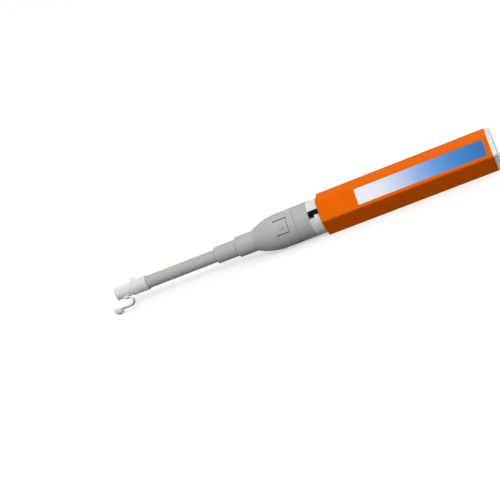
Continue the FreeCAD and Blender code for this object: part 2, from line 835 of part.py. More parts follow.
# --- Helical cam: turns the cleaning shaft as the carriage is pushed in ----------------
CAM_ROLL = PEN_ROLL - size("tip_turn") * size("cam_groove_margin") / size("press_stroke")
cam_shaft = new_piece("cam_shaft", CAM_ROLL)
turned(
    cam_shaft,
    [
        ("cam_tube_front", "0"),
        ("cam_tube_front", "cam_tube_radius"),
        ("cam_front", "cam_tube_radius"),
        ("cam_front", "cam_radius"),
        ("cam_rear", "cam_radius"),
        ("cam_rear", "journal_radius"),
        ("journal_rear", "journal_radius"),
        ("journal_rear", "journal_radius + journal_lip"),
        ("journal_rear + journal_lip", "journal_radius + journal_lip"),
        ("journal_rear + 3 * journal_lip", "journal_radius - journal_lip"),
        ("journal_rear + 3 * journal_lip", "0"),
    ],
)
groove_start = "(follower_x - press_stroke - cam_groove_margin)"
groove_section = outline(
    cam_shaft,
    "XZ_Plane",
    [
        (f"{groove_start} - cam_groove_width / 2", "cam_radius - cam_groove_depth"),
        (f"{groove_start} + cam_groove_width / 2", "cam_radius - cam_groove_depth"),
        (f"{groove_start} + cam_groove_width / 2", "cam_radius + cam_groove_depth"),
        (f"{groove_start} - cam_groove_width / 2", "cam_radius + cam_groove_depth"),
    ],
)
helix = cam_shaft.newObject("PartDesign::SubtractiveHelix", "cam_groove")
helix.Profile = groove_section
helix.ReferenceAxis = (groove_section, ["H_Axis"])
helix.Mode = "pitch-height-angle"
helix.setExpression("Pitch", bind("360 / tip_turn * press_stroke"))
helix.setExpression("Height", bind("press_stroke + 2 * cam_groove_margin"))
grown(cam_shaft, helix, False)
box(
    cam_shaft,
    ("cam_tube_front - cut_margin", "shaft_rear + shaft_end_gap / 2"),
    ("-shaft_square / 2 - slide_fit", "shaft_square / 2 + slide_fit"),
    ("-shaft_square / 2 - slide_fit", "shaft_square / 2 + slide_fit"),
    cut=True,
)

# --- Cleaning shaft: square at the rear, where it slides in the cam, round in front ----
cleaning_shaft = new_piece("cleaning_shaft", CAM_ROLL)
box(
    cleaning_shaft,
    ("shaft_step", "shaft_rear"),
    ("-shaft_square / 2", "shaft_square / 2"),
    ("-shaft_square / 2", "shaft_square / 2"),
)
rod = circles(cleaning_shaft, "YZ_Plane", [("0", "0", "shaft_radius")], "head_front + head_reach")
pad(cleaning_shaft, rod, "shaft_step + shaft_lap - head_front - head_reach")

# --- Cleaning head: holds the tape against the ferrule's end face ----------------------
cleaning_head = new_piece("cleaning_head")
turned(
    cleaning_head,
    [
        ("head_front", "0"),
        ("head_front", "head_radius - slide_fit"),
        ("head_front + slide_fit", "head_radius"),
        ("head_rear", "head_radius"),
        ("head_rear", "shaft_radius + seat_fit"),
        ("head_front + head_reach - seat_fit", "shaft_radius + seat_fit"),
        ("head_front + head_reach - seat_fit", "0"),
    ],
)
for low, high in (
    ("head_radius - head_slot_depth", "head_radius + cut_margin"),
    ("-head_radius - cut_margin", "-head_radius + head_slot_depth"),
):
    box(
        cleaning_head,
        ("head_front - cut_margin", "head_rear + cut_margin"),
        ("-tip_tape_width / 2 - seat_fit", "tip_tape_width / 2 + seat_fit"),
        (low, high),
        cut=True,
    )

# --- Bearing plate: front of the reel carriage, clipped into the sleeve's window -------
bearing_plate = new_piece("bearing_plate")
turned(
    bearing_plate,
    [
        ("bearing_front", "journal_radius + running_fit"),
        ("bearing_front", "sleeve_bore - seat_fit"),
        ("bearing_rear", "sleeve_bore - seat_fit"),
        ("bearing_rear", "bearing_boss_radius"),
        ("bearing_rear + bearing_boss", "bearing_boss_radius"),
        ("bearing_rear + bearing_boss", "journal_radius + running_fit"),
    ],
)
box(
    bearing_plate,
    ("bearing_front - cut_margin", "bearing_rear + cut_margin"),
    ("-follower_radius - cut_margin", "rack_right + 2 * end_gap"),
    ("-axis_height", "-pitch_radius + gear_module + end_gap"),
    cut=True,
)
for sign in (1, -1):
    box(
        bearing_plate,
        ("bearing_front - cut_margin", "bearing_rear + cut_margin"),
        ("tape_y - tape_width / 2 - end_gap", "tape_y + tape_width / 2 + end_gap"),
        (
            f"{sign} * tape_slot_height - tape_slot / 2",
            f"{sign} * tape_slot_height + tape_slot / 2",
        ),
        cut=True,
    )
hook_top = "sleeve_bore - 2 * end_gap"
box(
    bearing_plate,
    ("front - hook_reach", "bearing_front + join_overlap"),
    ("-hook_side - hook_width", "-hook_side"),
    (f"{hook_top} - hook_thickness", hook_top),
)
box(
    bearing_plate,
    ("front - hook_reach", "front - hook_reach + hook_tooth"),
    ("-hook_side - hook_width", "-hook_side"),
    (f"{hook_top} - join_overlap", "sleeve_radius - hook_tooth_gap"),
)

# --- Reel frames: two side plates that carry the axles, pins and pawl ------------------
AXLE_HOLES = [
    ("take_up_x", "0", "axle_radius + seat_fit"),
    ("supply_x", "0", "axle_radius + seat_fit"),
    ("take_up_x + reel_spacing / 2", "tie_hole_height", "tie_hole_radius"),
    ("take_up_x + reel_spacing / 2", "-tie_hole_height", "tie_hole_radius"),
]


def frame_plate(name, inner_y, height, outwards):
    """A side plate standing between the bearing plate and the spring seat."""
    plate = new_piece(name)
    low, high = (inner_y, f"{inner_y} + frame_plate")
    if not outwards:
        low, high = (f"-{inner_y} - frame_plate", f"-{inner_y}")
    box(plate, ("bearing_rear", "seat_front"), (low, high), (f"-{height} / 2", f"{height} / 2"))
    holes = circles(plate, "XZ_Plane", AXLE_HOLES, f"-({high}) - cut_margin")
    pocket(plate, holes, "frame_plate + 2 * cut_margin")
    return plate


reel_frame_right = frame_plate("reel_frame_right", "frame_right", "frame_right_height", True)
reel_frame_left = frame_plate("reel_frame_left", "frame_left", "frame_left_height", False)
upper_pin = "tape_slot_height - (pin_x - tape_turn) * upper_slope + pin_lift"
lower_pin = "-tape_slot_height - (pin_x - tape_turn) * lower_slope + pin_lift"
GUIDE_PINS = [
    ("pin_x", upper_pin, "guide_pin_radius"),
    ("pin_x", lower_pin, "guide_pin_radius"),
]
pins = circles(reel_frame_left, "XZ_Plane", GUIDE_PINS, "-(tape_y + tape_width / 2 + end_gap)")
pad(reel_frame_left, pins, "frame_left + tape_y + tape_width / 2 + end_gap")
document.recompute()

# --- Spring seat: rear of the reel carriage ---------------------------------------------
spring_seat = new_piece("spring_seat")
turned(
    spring_seat,
    [
        ("seat_front", "spring_seat_bore"),
        ("seat_front", "sleeve_bore - seat_fit"),
        ("sleeve_rear", "sleeve_bore - seat_fit"),
        ("sleeve_rear", "spring_post_radius"),
        ("sleeve_rear + spring_post_length / 2", "spring_post_radius"),
        ("sleeve_rear + spring_post_length / 2", "spring_seat_bore"),
    ],
)
box(
    spring_seat,
    ("seat_front - cut_margin", "sleeve_rear + cut_margin"),
    ("-follower_radius - cut_margin", "rack_right + 2 * end_gap"),
    ("-axis_height", "-pitch_radius + gear_module + end_gap"),
    cut=True,
)

# --- Reels: drawn about their own X axis and turned onto the axles ----------------------
REELS = {
    "take_up": ("take_up_x", "used_roll_radius", "frame_right - reel_side_gap"),
    "supply": ("supply_x", "full_roll_radius", "frame_right - washer_thickness - seat_fit"),
}
for name, (place, roll_radius, boss_end) in REELS.items():
    reel = new_piece(name + "_reel", along=place, turn=REEL_TURN)
    turned(
        reel,
        [
            ("reel_left", "axle_radius + running_fit"),
            ("reel_left", "reel_radius"),
            ("reel_left + reel_flange", "reel_radius"),
            ("reel_left + reel_flange", "reel_hub_radius"),
            ("reel_right - reel_flange", "reel_hub_radius"),
            ("reel_right - reel_flange", "reel_radius"),
            ("reel_right", "reel_radius"),
            ("reel_right", "reel_boss_radius"),
            (boss_end, "reel_boss_radius"),
            (boss_end, "axle_radius + running_fit"),
        ],
    )
    hole = circles(
        reel, "YZ_Plane", [("0", "reel_hole_place", "reel_hole_radius")], "reel_left - cut_margin"
    )
    first_hole = pocket(reel, hole, "reel_width + 2 * cut_margin")
    holes = reel.newObject("PartDesign::PolarPattern", name + "_reel_holes")
    holes.Originals = [first_hole]
    holes.Axis = (origin_part(reel, "X_Axis"), [""])
    holes.Angle = 360
    holes.setExpression("Occurrences", bind("reel_holes"))
    reel.Tip = holes
    roll = new_piece(name + "_roll", along=place, turn=REEL_TURN)
    turned(
        roll,
        ring_points(
            "reel_left + reel_flange + slide_fit",
            "reel_right - reel_flange - slide_fit",
            "reel_hub_radius + seat_fit",
            roll_radius,
        ),
    )
    axle = new_piece(name + "_axle", along=place, turn=REEL_TURN)
    turned(
        axle,
        [
            ("-frame_left - frame_plate - axle_head", "0"),
            ("-frame_left - frame_plate - axle_head", "axle_head_radius - axle_head / 2"),
            ("-frame_left - frame_plate - axle_head / 2", "axle_head_radius"),
            ("-frame_left - frame_plate", "axle_head_radius"),
            ("-frame_left - frame_plate", "axle_radius"),
            ("frame_right + frame_plate", "axle_radius"),
            ("frame_right + frame_plate", "axle_clip_radius"),
            ("frame_right + frame_plate + axle_head / 2", "axle_clip_radius"),
            ("frame_right + frame_plate + axle_head / 2", "0"),
        ],
    )

# --- Ratchet wheel: keeps the take-up reel from running back ----------------------------
ratchet_wheel = new_piece("ratchet_wheel", along="take_up_x", turn=REEL_TURN)
turned(
    ratchet_wheel,
    ring_points(
        "reel_side_gap",
        "reel_side_gap + ratchet_width",
        "reel_boss_radius + seat_fit",
        "ratchet_radius - ratchet_tooth",
    ),
)
tooth_step = "360 / ratchet_teeth"
tooth_foot = "(ratchet_radius - ratchet_root)"
ratchet_tooth = outline(
    ratchet_wheel,
    "YZ_Plane",
    [
        (tooth_foot, "0"),
        ("ratchet_radius", "0"),
        (f"{tooth_foot} * cos({tooth_step})", f"{tooth_foot} * sin({tooth_step})"),
    ],
    offset="reel_side_gap",
)
first_ratchet_tooth = pad(ratchet_wheel, ratchet_tooth, "ratchet_width")
ratchet_row = ratchet_wheel.newObject("PartDesign::PolarPattern", "ratchet_row")
ratchet_row.Originals = [first_ratchet_tooth]
ratchet_row.Axis = (origin_part(ratchet_wheel, "X_Axis"), [""])
ratchet_row.Angle = 360
ratchet_row.setExpression("Occurrences", bind("ratchet_teeth"))
ratchet_wheel.Tip = ratchet_row

# --- Ratchet pawl: moulded finger on a post of the right frame --------------------------
ratchet_pawl = new_piece("ratchet_pawl")
pawl_outer = "(reel_side_gap + (ratchet_width + pawl_width) / 2)"
post = circles(ratchet_pawl, "XZ_Plane", [("pawl_x", "pawl_z", "pawl_post_radius")], "-frame_right")
pad(ratchet_pawl, post, f"frame_right - {pawl_outer} + pawl_width")
finger = outline(
    ratchet_pawl,
    "XZ_Plane",
    [
        ("pawl_x - pawl_root / 4", "pawl_z - pawl_root / 2"),
        ("pawl_tip_x", "pawl_tip_z"),
        ("pawl_tip_x + pawl_point / 2", "pawl_tip_z + pawl_point"),
        ("pawl_x + pawl_root / 4", "pawl_z + pawl_root / 2"),
    ],
    offset=f"-{pawl_outer}",
)
pad(ratchet_pawl, finger, "pawl_width")

# --- Brake washer: drags on the supply reel so that the tape stays taut ------------------
brake_washer = new_piece("brake_washer", along="supply_x", turn=REEL_TURN)
turned(
    brake_washer,
    ring_points(
        "frame_right - washer_thickness",
        "frame_right - seat_fit",
        "axle_radius + running_fit",
        "washer_radius",
    ),
)

# --- Pinion: involute gear on the take-up reel's boss, in mesh with the rack -------------
gear_wire = fcgear.makeGear(
    size("gear_module"), int(size("pinion_teeth")), size("pressure_angle")
)
gear_wire.Label = "pinion_outline"
gear_wire.Placement.Base = FreeCAD.Vector(0, 0, size("rack_left + slide_fit"))
gear_blank = document.addObject("Part::Extrusion", "pinion_blank")
gear_blank.Base = gear_wire
gear_blank.DirMode = "Custom"
gear_blank.Dir = Z_AXIS
gear_blank.Solid = True
gear_blank.setExpression("LengthFwd", bind("pinion_width"))
gear_bore = document.addObject("Part::Cylinder", "pinion_bore")
gear_bore.setExpression("Radius", bind("reel_boss_radius + seat_fit"))
gear_bore.setExpression("Height", bind("2 * frame_right"))
pinion = document.addObject("Part::Cut", "pinion")
pinion.Label = "pinion"
pinion.Base = gear_blank
pinion.Tool = gear_bore
lay(pinion, PEN_ROLL - 90, "take_up_x")
pieces.append(pinion)

# --- Tape: two flat runs, from the reels to the nozzle and on to the head ----------------
def tape_run(stations, y_places, heights):
    """One flat run of tape, lofted through upright slices."""
    slices = []
    half_width = size("tape_width") / 2
    half_thickness = size("tape_thickness") / 2
    for station, y_place, height in zip(stations, y_places, heights):
        x, y, z = size(station), size(y_place), size(height)
        corners = [
            FreeCAD.Vector(x, y + a * half_width, z + b * half_thickness)
            for a, b in ((-1, -1), (1, -1), (1, 1), (-1, 1), (-1, -1))
        ]
        slices.append(Part.makePolygon(corners))
    return Part.makeLoft(slices, True, True)


def tape_piece(name, runs):
    """A node that holds several runs of tape."""
    piece = document.addObject("Part::Feature", name)
    piece.Label = name
    piece.Shape = Part.makeCompound([tape_run(*run) for run in runs])
    lay(piece)
    pieces.append(piece)
    return piece


REEL_STATIONS = ["guide_front", "cam_front", "bearing_front - tape_lead", "tape_turn"]
REEL_Y_PLACES = ["0", "tape_y", "tape_y", "tape_y", "tape_y"]
tape_piece(
    "tape_reel_run",
    [
        (
            REEL_STATIONS + ["take_up_x"],
            REEL_Y_PLACES,
            ["tape_slot_height"] * 4 + ["used_roll_radius + tape_rest"],
        ),
        (
            REEL_STATIONS + ["supply_x"],
            REEL_Y_PLACES,
            ["-tape_slot_height"] * 4 + ["-(full_roll_radius + tape_rest)"],
        ),
    ],
)
tube_z = "head_radius - head_slot_depth + tape_thickness / 2 + seat_fit"
NOZZLE_STATIONS = [
    "head_rear",
    "middle_tube_front",
    "rear_tube_front",
    "cone_front",
    "guide_front - slide_fit",
]
NOZZLE_HEIGHTS = [
    tube_z,
    tube_z,
    "middle_tube_radius / 2",
    "rear_tube_radius - 2 * tube_wall + 2 * slide_fit",
    "tape_slot_height",
]
tape_piece(
    "tape_nozzle_run",
    [
        (NOZZLE_STATIONS, ["0"] * 5, NOZZLE_HEIGHTS),
        (NOZZLE_STATIONS, ["0"] * 5, [f"-({height})" for height in NOZZLE_HEIGHTS]),
    ],
)
tape_tip_wrap = new_piece("tape_tip_wrap")
wrap_low = "head_radius - head_slot_depth + seat_fit"
wrap_high = f"{wrap_low} + tape_thickness"
box(
    tape_tip_wrap,
    ("head_front - tape_thickness", "head_front"),
    ("-tip_tape_width / 2", "tip_tape_width / 2"),
    (f"-({wrap_high})", wrap_high),
)
for low, high in ((wrap_low, wrap_high), (f"-({wrap_high})", f"-({wrap_low})")):
    box(
        tape_tip_wrap,
        ("head_front - tape_thickness", "head_rear"),
        ("-tip_tape_width / 2", "tip_tape_width / 2"),
        (low, high),
    )

# --- Return spring: pushes the carriage forward again -------------------------------------
return_spring = new_piece("return_spring")
wire = circles(
    return_spring,
    "XZ_Plane",
    [("sleeve_rear + spring_wire / 2 + seat_fit", "spring_radius", "spring_wire / 2")],
)
coil = return_spring.newObject("PartDesign::AdditiveHelix", "spring_coil")
coil.Profile = wire
coil.ReferenceAxis = (wire, ["H_Axis"])
coil.Mode = "height-turns-angle"
coil.setExpression("Height", bind("rear - sleeve_rear - spring_wire - 2 * seat_fit"))
coil.setExpression("Turns", bind("spring_turns"))
document.recompute()

# --- Checks and export ---------------------------------------------------------------------
for item in document.Objects:
    if "Invalid" in item.State or "Error" in item.State:
        raise RuntimeError(f"{item.Label} failed: {item.State}")
os.makedirs("parts", exist_ok=True)
for piece in pieces:
    if piece.Shape.isNull() or not piece.Shape.isValid() or piece.Shape.Volume <= 0:
        raise RuntimeError(f"{piece.Label} has no sound shape")
for piece in pieces:
    piece.Shape.exportStep(f"parts/{piece.Label}.step")
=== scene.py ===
"""Dressed model of a push-to-clean pen for fibre connectors, built round its CAD frame."""
import math

import bmesh
import bpy
from mathutils import Matrix, Vector


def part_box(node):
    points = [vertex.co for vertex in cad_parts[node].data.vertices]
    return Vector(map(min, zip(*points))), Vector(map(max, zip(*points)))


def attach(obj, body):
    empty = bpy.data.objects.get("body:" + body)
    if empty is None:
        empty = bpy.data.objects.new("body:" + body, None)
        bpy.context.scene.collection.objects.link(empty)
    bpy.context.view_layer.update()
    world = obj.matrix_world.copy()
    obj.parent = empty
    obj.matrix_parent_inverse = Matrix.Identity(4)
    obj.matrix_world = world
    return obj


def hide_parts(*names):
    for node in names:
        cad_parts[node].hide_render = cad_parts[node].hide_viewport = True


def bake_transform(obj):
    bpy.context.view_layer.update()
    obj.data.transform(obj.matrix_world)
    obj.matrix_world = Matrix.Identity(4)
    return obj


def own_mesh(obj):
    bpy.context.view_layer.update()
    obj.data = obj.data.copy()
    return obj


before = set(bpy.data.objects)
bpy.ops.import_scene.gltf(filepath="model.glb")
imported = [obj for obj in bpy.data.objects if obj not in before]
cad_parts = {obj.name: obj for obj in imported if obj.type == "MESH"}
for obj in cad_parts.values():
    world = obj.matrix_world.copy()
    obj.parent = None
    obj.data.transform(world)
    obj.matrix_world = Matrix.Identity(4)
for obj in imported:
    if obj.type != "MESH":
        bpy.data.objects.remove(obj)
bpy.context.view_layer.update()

# --- Studio -----------------------------------------------------------------------------
# The pen lies on one flat of its barrel, on a plain pale floor under a broad soft lamp.
# The camera is low, at the front left of the pen, and is turned about its own line of sight.
MM = 0.001
scene = bpy.context.scene
scene.view_settings.view_transform = "Standard"


def span(node, axis=0):
    """Where a CAD piece begins and ends along one axis, in millimetres."""
    low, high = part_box(node)
    return low[axis] / MM, high[axis] / MM


front, rear = span("barrel")
bottom, top = span("barrel", 2)
axis_height = (top + bottom) / 2
half_flats = (top - bottom) / 2

CAMERA_AIM = (front - 37.3, -14.23, axis_height + 1.15)
CAMERA_DISTANCE = 537
CAMERA_LENS = 79.2
CAMERA_HEADING = math.radians(-15.55)
CAMERA_TILT = math.radians(18.0)
CAMERA_ROLL = math.radians(-26.0)

sight = Vector(
    (
        math.sin(CAMERA_HEADING) * math.cos(CAMERA_TILT),
        math.cos(CAMERA_HEADING) * math.cos(CAMERA_TILT),
        -math.sin(CAMERA_TILT),
    )
)
level = sight.cross(Vector((0, 0, 1))).normalized()
upright = level.cross(sight)
camera_right = level * math.cos(CAMERA_ROLL) + upright * math.sin(CAMERA_ROLL)
camera_up = upright * math.cos(CAMERA_ROLL) - level * math.sin(CAMERA_ROLL)
camera_data = bpy.data.cameras.new("camera")
camera_data.lens = CAMERA_LENS
camera = bpy.data.objects.new("camera", camera_data)
camera.matrix_world = (
    Matrix.Translation((Vector(CAMERA_AIM) - sight * CAMERA_DISTANCE) * MM)
    @ Matrix((camera_right, camera_up, -sight)).transposed().to_4x4()
)
scene.collection.objects.link(camera)
scene.camera = camera

LAMP_DIRECTION = Vector((-0.1, 0.7, -0.7))
LAMP_STRENGTH = 1.5
LAMP_SPREAD = math.radians(24)
SKY_STRENGTH = 0.68
FLOOR_SIZE = 6000

lamp_data = bpy.data.lights.new("soft_lamp", "SUN")
lamp_data.energy = LAMP_STRENGTH
lamp_data.angle = LAMP_SPREAD
lamp = bpy.data.objects.new("soft_lamp", lamp_data)
lamp.rotation_euler = LAMP_DIRECTION.to_track_quat("-Z", "Y").to_euler()
scene.collection.objects.link(lamp)


def seen_directly(nodes, links):
    """One where a ray comes from the camera, a gloss or a clear material, and else zero."""
    path = nodes.new("ShaderNodeLightPath")
    camera_or_gloss = nodes.new("ShaderNodeMath")
    camera_or_gloss.operation = "MAXIMUM"
    seen = nodes.new("ShaderNodeMath")
    seen.operation = "MAXIMUM"
    links.new(path.outputs["Is Camera Ray"], camera_or_gloss.inputs[0])
    links.new(path.outputs["Is Glossy Ray"], camera_or_gloss.inputs[1])
    links.new(camera_or_gloss.outputs[0], seen.inputs[0])
    links.new(path.outputs["Is Transmission Ray"], seen.inputs[1])
    return seen.outputs[0]


sky = bpy.data.worlds.new("studio")
sky.use_nodes = True
scene.world = sky
sky_nodes = sky.node_tree.nodes
sky_links = sky.node_tree.links
sky_shade = sky_nodes["Background"]
sky_shade.inputs["Color"].default_value = (1, 1, 1, 1)
sky_level = sky_nodes.new("ShaderNodeMapRange")
sky_level.inputs["To Min"].default_value = SKY_STRENGTH
sky_level.inputs["To Max"].default_value = 1.0
sky_links.new(seen_directly(sky_nodes, sky_links), sky_level.inputs["Value"])
sky_links.new(sky_level.outputs["Result"], sky_shade.inputs["Strength"])

FLOOR_COLOUR = (0.5, 0.5, 0.5, 1)
FLOOR_BOUNCE = (0.06, 0.06, 0.06, 1)
FLOOR_LIFT = 0.55

floor_paint = bpy.data.materials.new("floor_paint")
floor_paint.use_nodes = True
floor_nodes = floor_paint.node_tree.nodes
floor_links = floor_paint.node_tree.links
floor_nodes.clear()
floor_out = floor_nodes.new("ShaderNodeOutputMaterial")
bounce = floor_nodes.new("ShaderNodeBsdfDiffuse")
bounce.inputs["Color"].default_value = FLOOR_BOUNCE
pale = floor_nodes.new("ShaderNodeBsdfDiffuse")
pale.inputs["Color"].default_value = FLOOR_COLOUR
lift = floor_nodes.new("ShaderNodeEmission")
lift.inputs["Strength"].default_value = FLOOR_LIFT
pale_and_lift = floor_nodes.new("ShaderNodeAddShader")
floor_mix = floor_nodes.new("ShaderNodeMixShader")
floor_links.new(pale.outputs[0], pale_and_lift.inputs[0])
floor_links.new(lift.outputs[0], pale_and_lift.inputs[1])
floor_links.new(seen_directly(floor_nodes, floor_links), floor_mix.inputs[0])
floor_links.new(bounce.outputs[0], floor_mix.inputs[1])
floor_links.new(pale_and_lift.outputs[0], floor_mix.inputs[2])
floor_links.new(floor_mix.outputs[0], floor_out.inputs["Surface"])

floor_mesh = bpy.data.meshes.new("floor")
edge = FLOOR_SIZE / 2 * MM
floor_mesh.from_pydata(
    [(-edge, -edge, 0), (edge, -edge, 0), (edge, edge, 0), (-edge, edge, 0)], [], [(0, 1, 2, 3)]
)
floor_mesh.materials.append(floor_paint)
floor = bpy.data.objects.new("floor", floor_mesh)
scene.collection.objects.link(floor)

# --- Barrel -----------------------------------------------------------------------------
# The orange hexagonal grip is one injection moulding of satin ABS with a round bore.
# The label's flat has a shallow recess, and both ends have a small round-over.
BARREL_BORE = 9.1
BARREL_EDGE = 1.1
BARREL_END = 0.35
BORE_EDGE = 0.15
LABEL_DEPTH = 0.12
LABEL_GAP = 0.02
LABEL_CORNER = 0.3
LABEL_WIDTH = 8.0
PEN_ROLL = 60
TOOL_REACH = 1
ARC_STEPS = 6
FLAT_PLACES = (0.02, 0.12, 0.25, 0.375, 0.5, 0.625, 0.75, 0.88, 0.98)


def rolled(degrees):
    """Place in metres for a piece drawn in millimetres about the X axis."""
    turn = Matrix.Rotation(math.radians(degrees), 4, "X")
    return Matrix.Translation((0, 0, axis_height * MM)) @ turn @ Matrix.Scale(MM, 4)


def hexagon(half, edge_radius):
    """Points round a hexagon with rounded corners and a flat at its top."""
    reach = (half - edge_radius) / math.cos(math.radians(30))
    points = []
    for side in range(6):
        corner = math.radians(60 * side)
        middle = Vector((math.cos(corner), math.sin(corner))) * reach
        for step in range(ARC_STEPS + 1):
            angle = corner + math.radians(60 * step / ARC_STEPS - 30)
            points.append(middle + Vector((math.cos(angle), math.sin(angle))) * edge_radius)
        following = math.radians(60 * (side + 1))
        start = points[-1]
        normal = math.radians(60 * side + 30)
        end = Vector((math.cos(following), math.sin(following))) * reach
        end += Vector((math.cos(normal), math.sin(normal))) * edge_radius
        points.extend(start.lerp(end, place) for place in FLAT_PLACES)
    return points


HEXAGON = hexagon(half_flats, BARREL_EDGE)


def hex_ring(x, inset):
    """The barrel's outline at one station, drawn in by an inset."""
    share = (half_flats - inset) / half_flats
    return [(x, y * share, z * share) for y, z in HEXAGON]


def round_ring(x, radius):
    """A circle with as many points as the hexagon, each at its angle."""
    return [(x, *(point.normalized() * radius)) for point in HEXAGON]


def finish_mesh(name, mesh, place, material, sharp_angle=30):
    """Put a mesh in place, smooth it between its sharp edges and give it its material."""
    mesh.transform(place)
    mesh.shade_smooth()
    mesh.set_sharp_from_angle(angle=math.radians(sharp_angle))
    mesh.materials.clear()
    mesh.materials.append(material)
    piece = bpy.data.objects.new(name, mesh)
    scene.collection.objects.link(piece)
    return piece


def skin(rings, closed):
    """Quads between rings of equally many points; open ends are closed to their middle."""
    count = len(rings[0])
    form = bmesh.new()
    loops = [[form.verts.new(point) for point in ring] for ring in rings]
    pairs = list(zip(loops, loops[1:]))
    if closed:
        pairs.append((loops[-1], loops[0]))
    for one, other in pairs:
        for i in range(count):
            j = (i + 1) % count
            form.faces.new((one[i], one[j], other[j], other[i]))
    if not closed:
        for loop in (loops[0], loops[-1]):
            middle = sum((vertex.co for vertex in loop), Vector()) / count
            tip = form.verts.new(middle)
            for i in range(count):
                form.faces.new((loop[i], loop[(i + 1) % count], tip))
    bmesh.ops.recalc_face_normals(form, faces=form.faces)
    mesh = bpy.data.meshes.new("skin")
    form.to_mesh(mesh)
    form.free()
    return mesh


def rounded(corners, steps=5, hold=0.4):
    """Closed outline through (across, up, radius) corners, each rounded by its radius."""
    outline = []
    for i, (across, up, radius) in enumerate(corners):
        here = Vector((across, up))
        back = Vector(corners[i - 1][:2]) - here
        ahead = Vector(corners[(i + 1) % len(corners)][:2]) - here
        if not radius:
            outline.append(here)
            continue
        half_angle = back.angle(ahead) / 2
        reach = radius / math.tan(half_angle)
        back_way = back.normalized()
        ahead_way = ahead.normalized()
        middle = here + (back_way + ahead_way).normalized() * radius / math.sin(half_angle)
        start = here + back_way * reach - middle
        end = here + ahead_way * reach - middle
        outline.append(middle + start + back_way * min(hold * radius, 0.4 * (back.length - reach)))
        sweep = start.angle_signed(end)
        for step in range(steps + 1):
            outline.append(middle + Matrix.Rotation(-sweep * step / steps, 2) @ start)
        outline.append(middle + end + ahead_way * min(hold * radius, 0.4 * (ahead.length - reach)))
    return outline


def prism(outline, low, high, axis="Z"):
    """Straight block over an outline, between two heights along one axis."""
    form = bmesh.new()
    ends = []
    for height in (low, high):
        if axis == "Z":
            ends.append([form.verts.new((a, b, height)) for a, b in outline])
        else:
            ends.append([form.verts.new((a, height, b)) for a, b in outline])
    form.faces.new(ends[0])
    form.faces.new(ends[1])
    for i in range(len(outline)):
        j = (i + 1) % len(outline)
        form.faces.new((ends[0][i], ends[0][j], ends[1][j], ends[1][i]))
    bmesh.ops.recalc_face_normals(form, faces=form.faces)
    mesh = bpy.data.meshes.new("block")
    form.to_mesh(mesh)
    form.free()
    return mesh


def plate_outline(x, y, corner):
    """Rounded rectangle between two places along X and along Y."""
    return rounded(
        [(x[0], y[0], corner), (x[1], y[0], corner), (x[1], y[1], corner), (x[0], y[1], corner)]
    )


def joined(mesh, tools, operation):
    """A mesh after it has been cut by, or fused with, some blocks."""
    base = bpy.data.objects.new("base", mesh)
    scene.collection.objects.link(base)
    helpers = [base]
    for tool in tools:
        block = bpy.data.objects.new("tool", tool)
        scene.collection.objects.link(block)
        helpers.append(block)
        step = base.modifiers.new("step", "BOOLEAN")
        step.operation = operation
        step.solver = "EXACT"
        step.object = block
    evaluated = base.evaluated_get(bpy.context.evaluated_depsgraph_get())
    result = bpy.data.meshes.new_from_object(evaluated)
    for helper in helpers:
        bpy.data.objects.remove(helper)
    return result


def paint(code):
    """Linear colour from a six-figure display colour."""
    parts = [int(code[i:i + 2], 16) / 255 for i in (0, 2, 4)]
    return tuple(
        part / 12.92 if part <= 0.04045 else ((part + 0.055) / 1.055) ** 2.4 for part in parts
    ) + (1,)


def shaded(name):
    """New material with its nodes, links, shader and object coordinates."""
    material = bpy.data.materials.new(name)
    material.use_nodes = True
    nodes = material.node_tree.nodes
    place = nodes.new("ShaderNodeTexCoord").outputs["Object"]
    return material, nodes, material.node_tree.links, nodes["Principled BSDF"], place


def noise(nodes, links, place, scale, detail=3.0, stretch=(1, 1, 1)):
    """Noise over object coordinates, with its grain stretched along an axis."""
    mapping = nodes.new("ShaderNodeMapping")
    mapping.inputs["Scale"].default_value = stretch
    texture = nodes.new("ShaderNodeTexNoise")
    texture.inputs["Scale"].default_value = scale
    texture.inputs["Detail"].default_value = detail
    links.new(place, mapping.inputs["Vector"])
    links.new(mapping.outputs["Vector"], texture.inputs["Vector"])
    return texture.outputs["Fac"]


def between(nodes, links, value, low, high, start=0.35, stop=0.65):
    """A noise value spread between two levels."""
    spread = nodes.new("ShaderNodeMapRange")
    spread.inputs["From Min"].default_value = start
    spread.inputs["From Max"].default_value = stop
    spread.inputs["To Min"].default_value = low
    spread.inputs["To Max"].default_value = high
    links.new(value, spread.inputs["Value"])
    return spread.outputs["Result"]


def mixed(nodes, links, share, one, other):
    """Colour between two colours, by a share."""
    mix = nodes.new("ShaderNodeMix")
    mix.data_type = "RGBA"
    for socket, colour in zip(("A", "B"), (one, other)):
        target = next(s for s in mix.inputs if s.name == socket and s.type == "RGBA")
        if isinstance(colour, tuple):
            target.default_value = colour
        else:
            links.new(colour, target)
    links.new(share, mix.inputs["Factor"])
    return next(s for s in mix.outputs if s.type == "RGBA")


def tinted(colour, factor):
    """A lighter or darker tone of a colour."""
    return tuple(min(1, part * factor) for part in colour[:3]) + (1,)


def relief(nodes, links, shader, height, strength, distance):
    """Fine relief on a shader from a height value."""
    bump = nodes.new("ShaderNodeBump")
    bump.inputs["Strength"].default_value = strength
    bump.inputs["Distance"].default_value = distance
    links.new(height, bump.inputs["Height"])
    links.new(bump.outputs["Normal"], shader.inputs["Normal"])


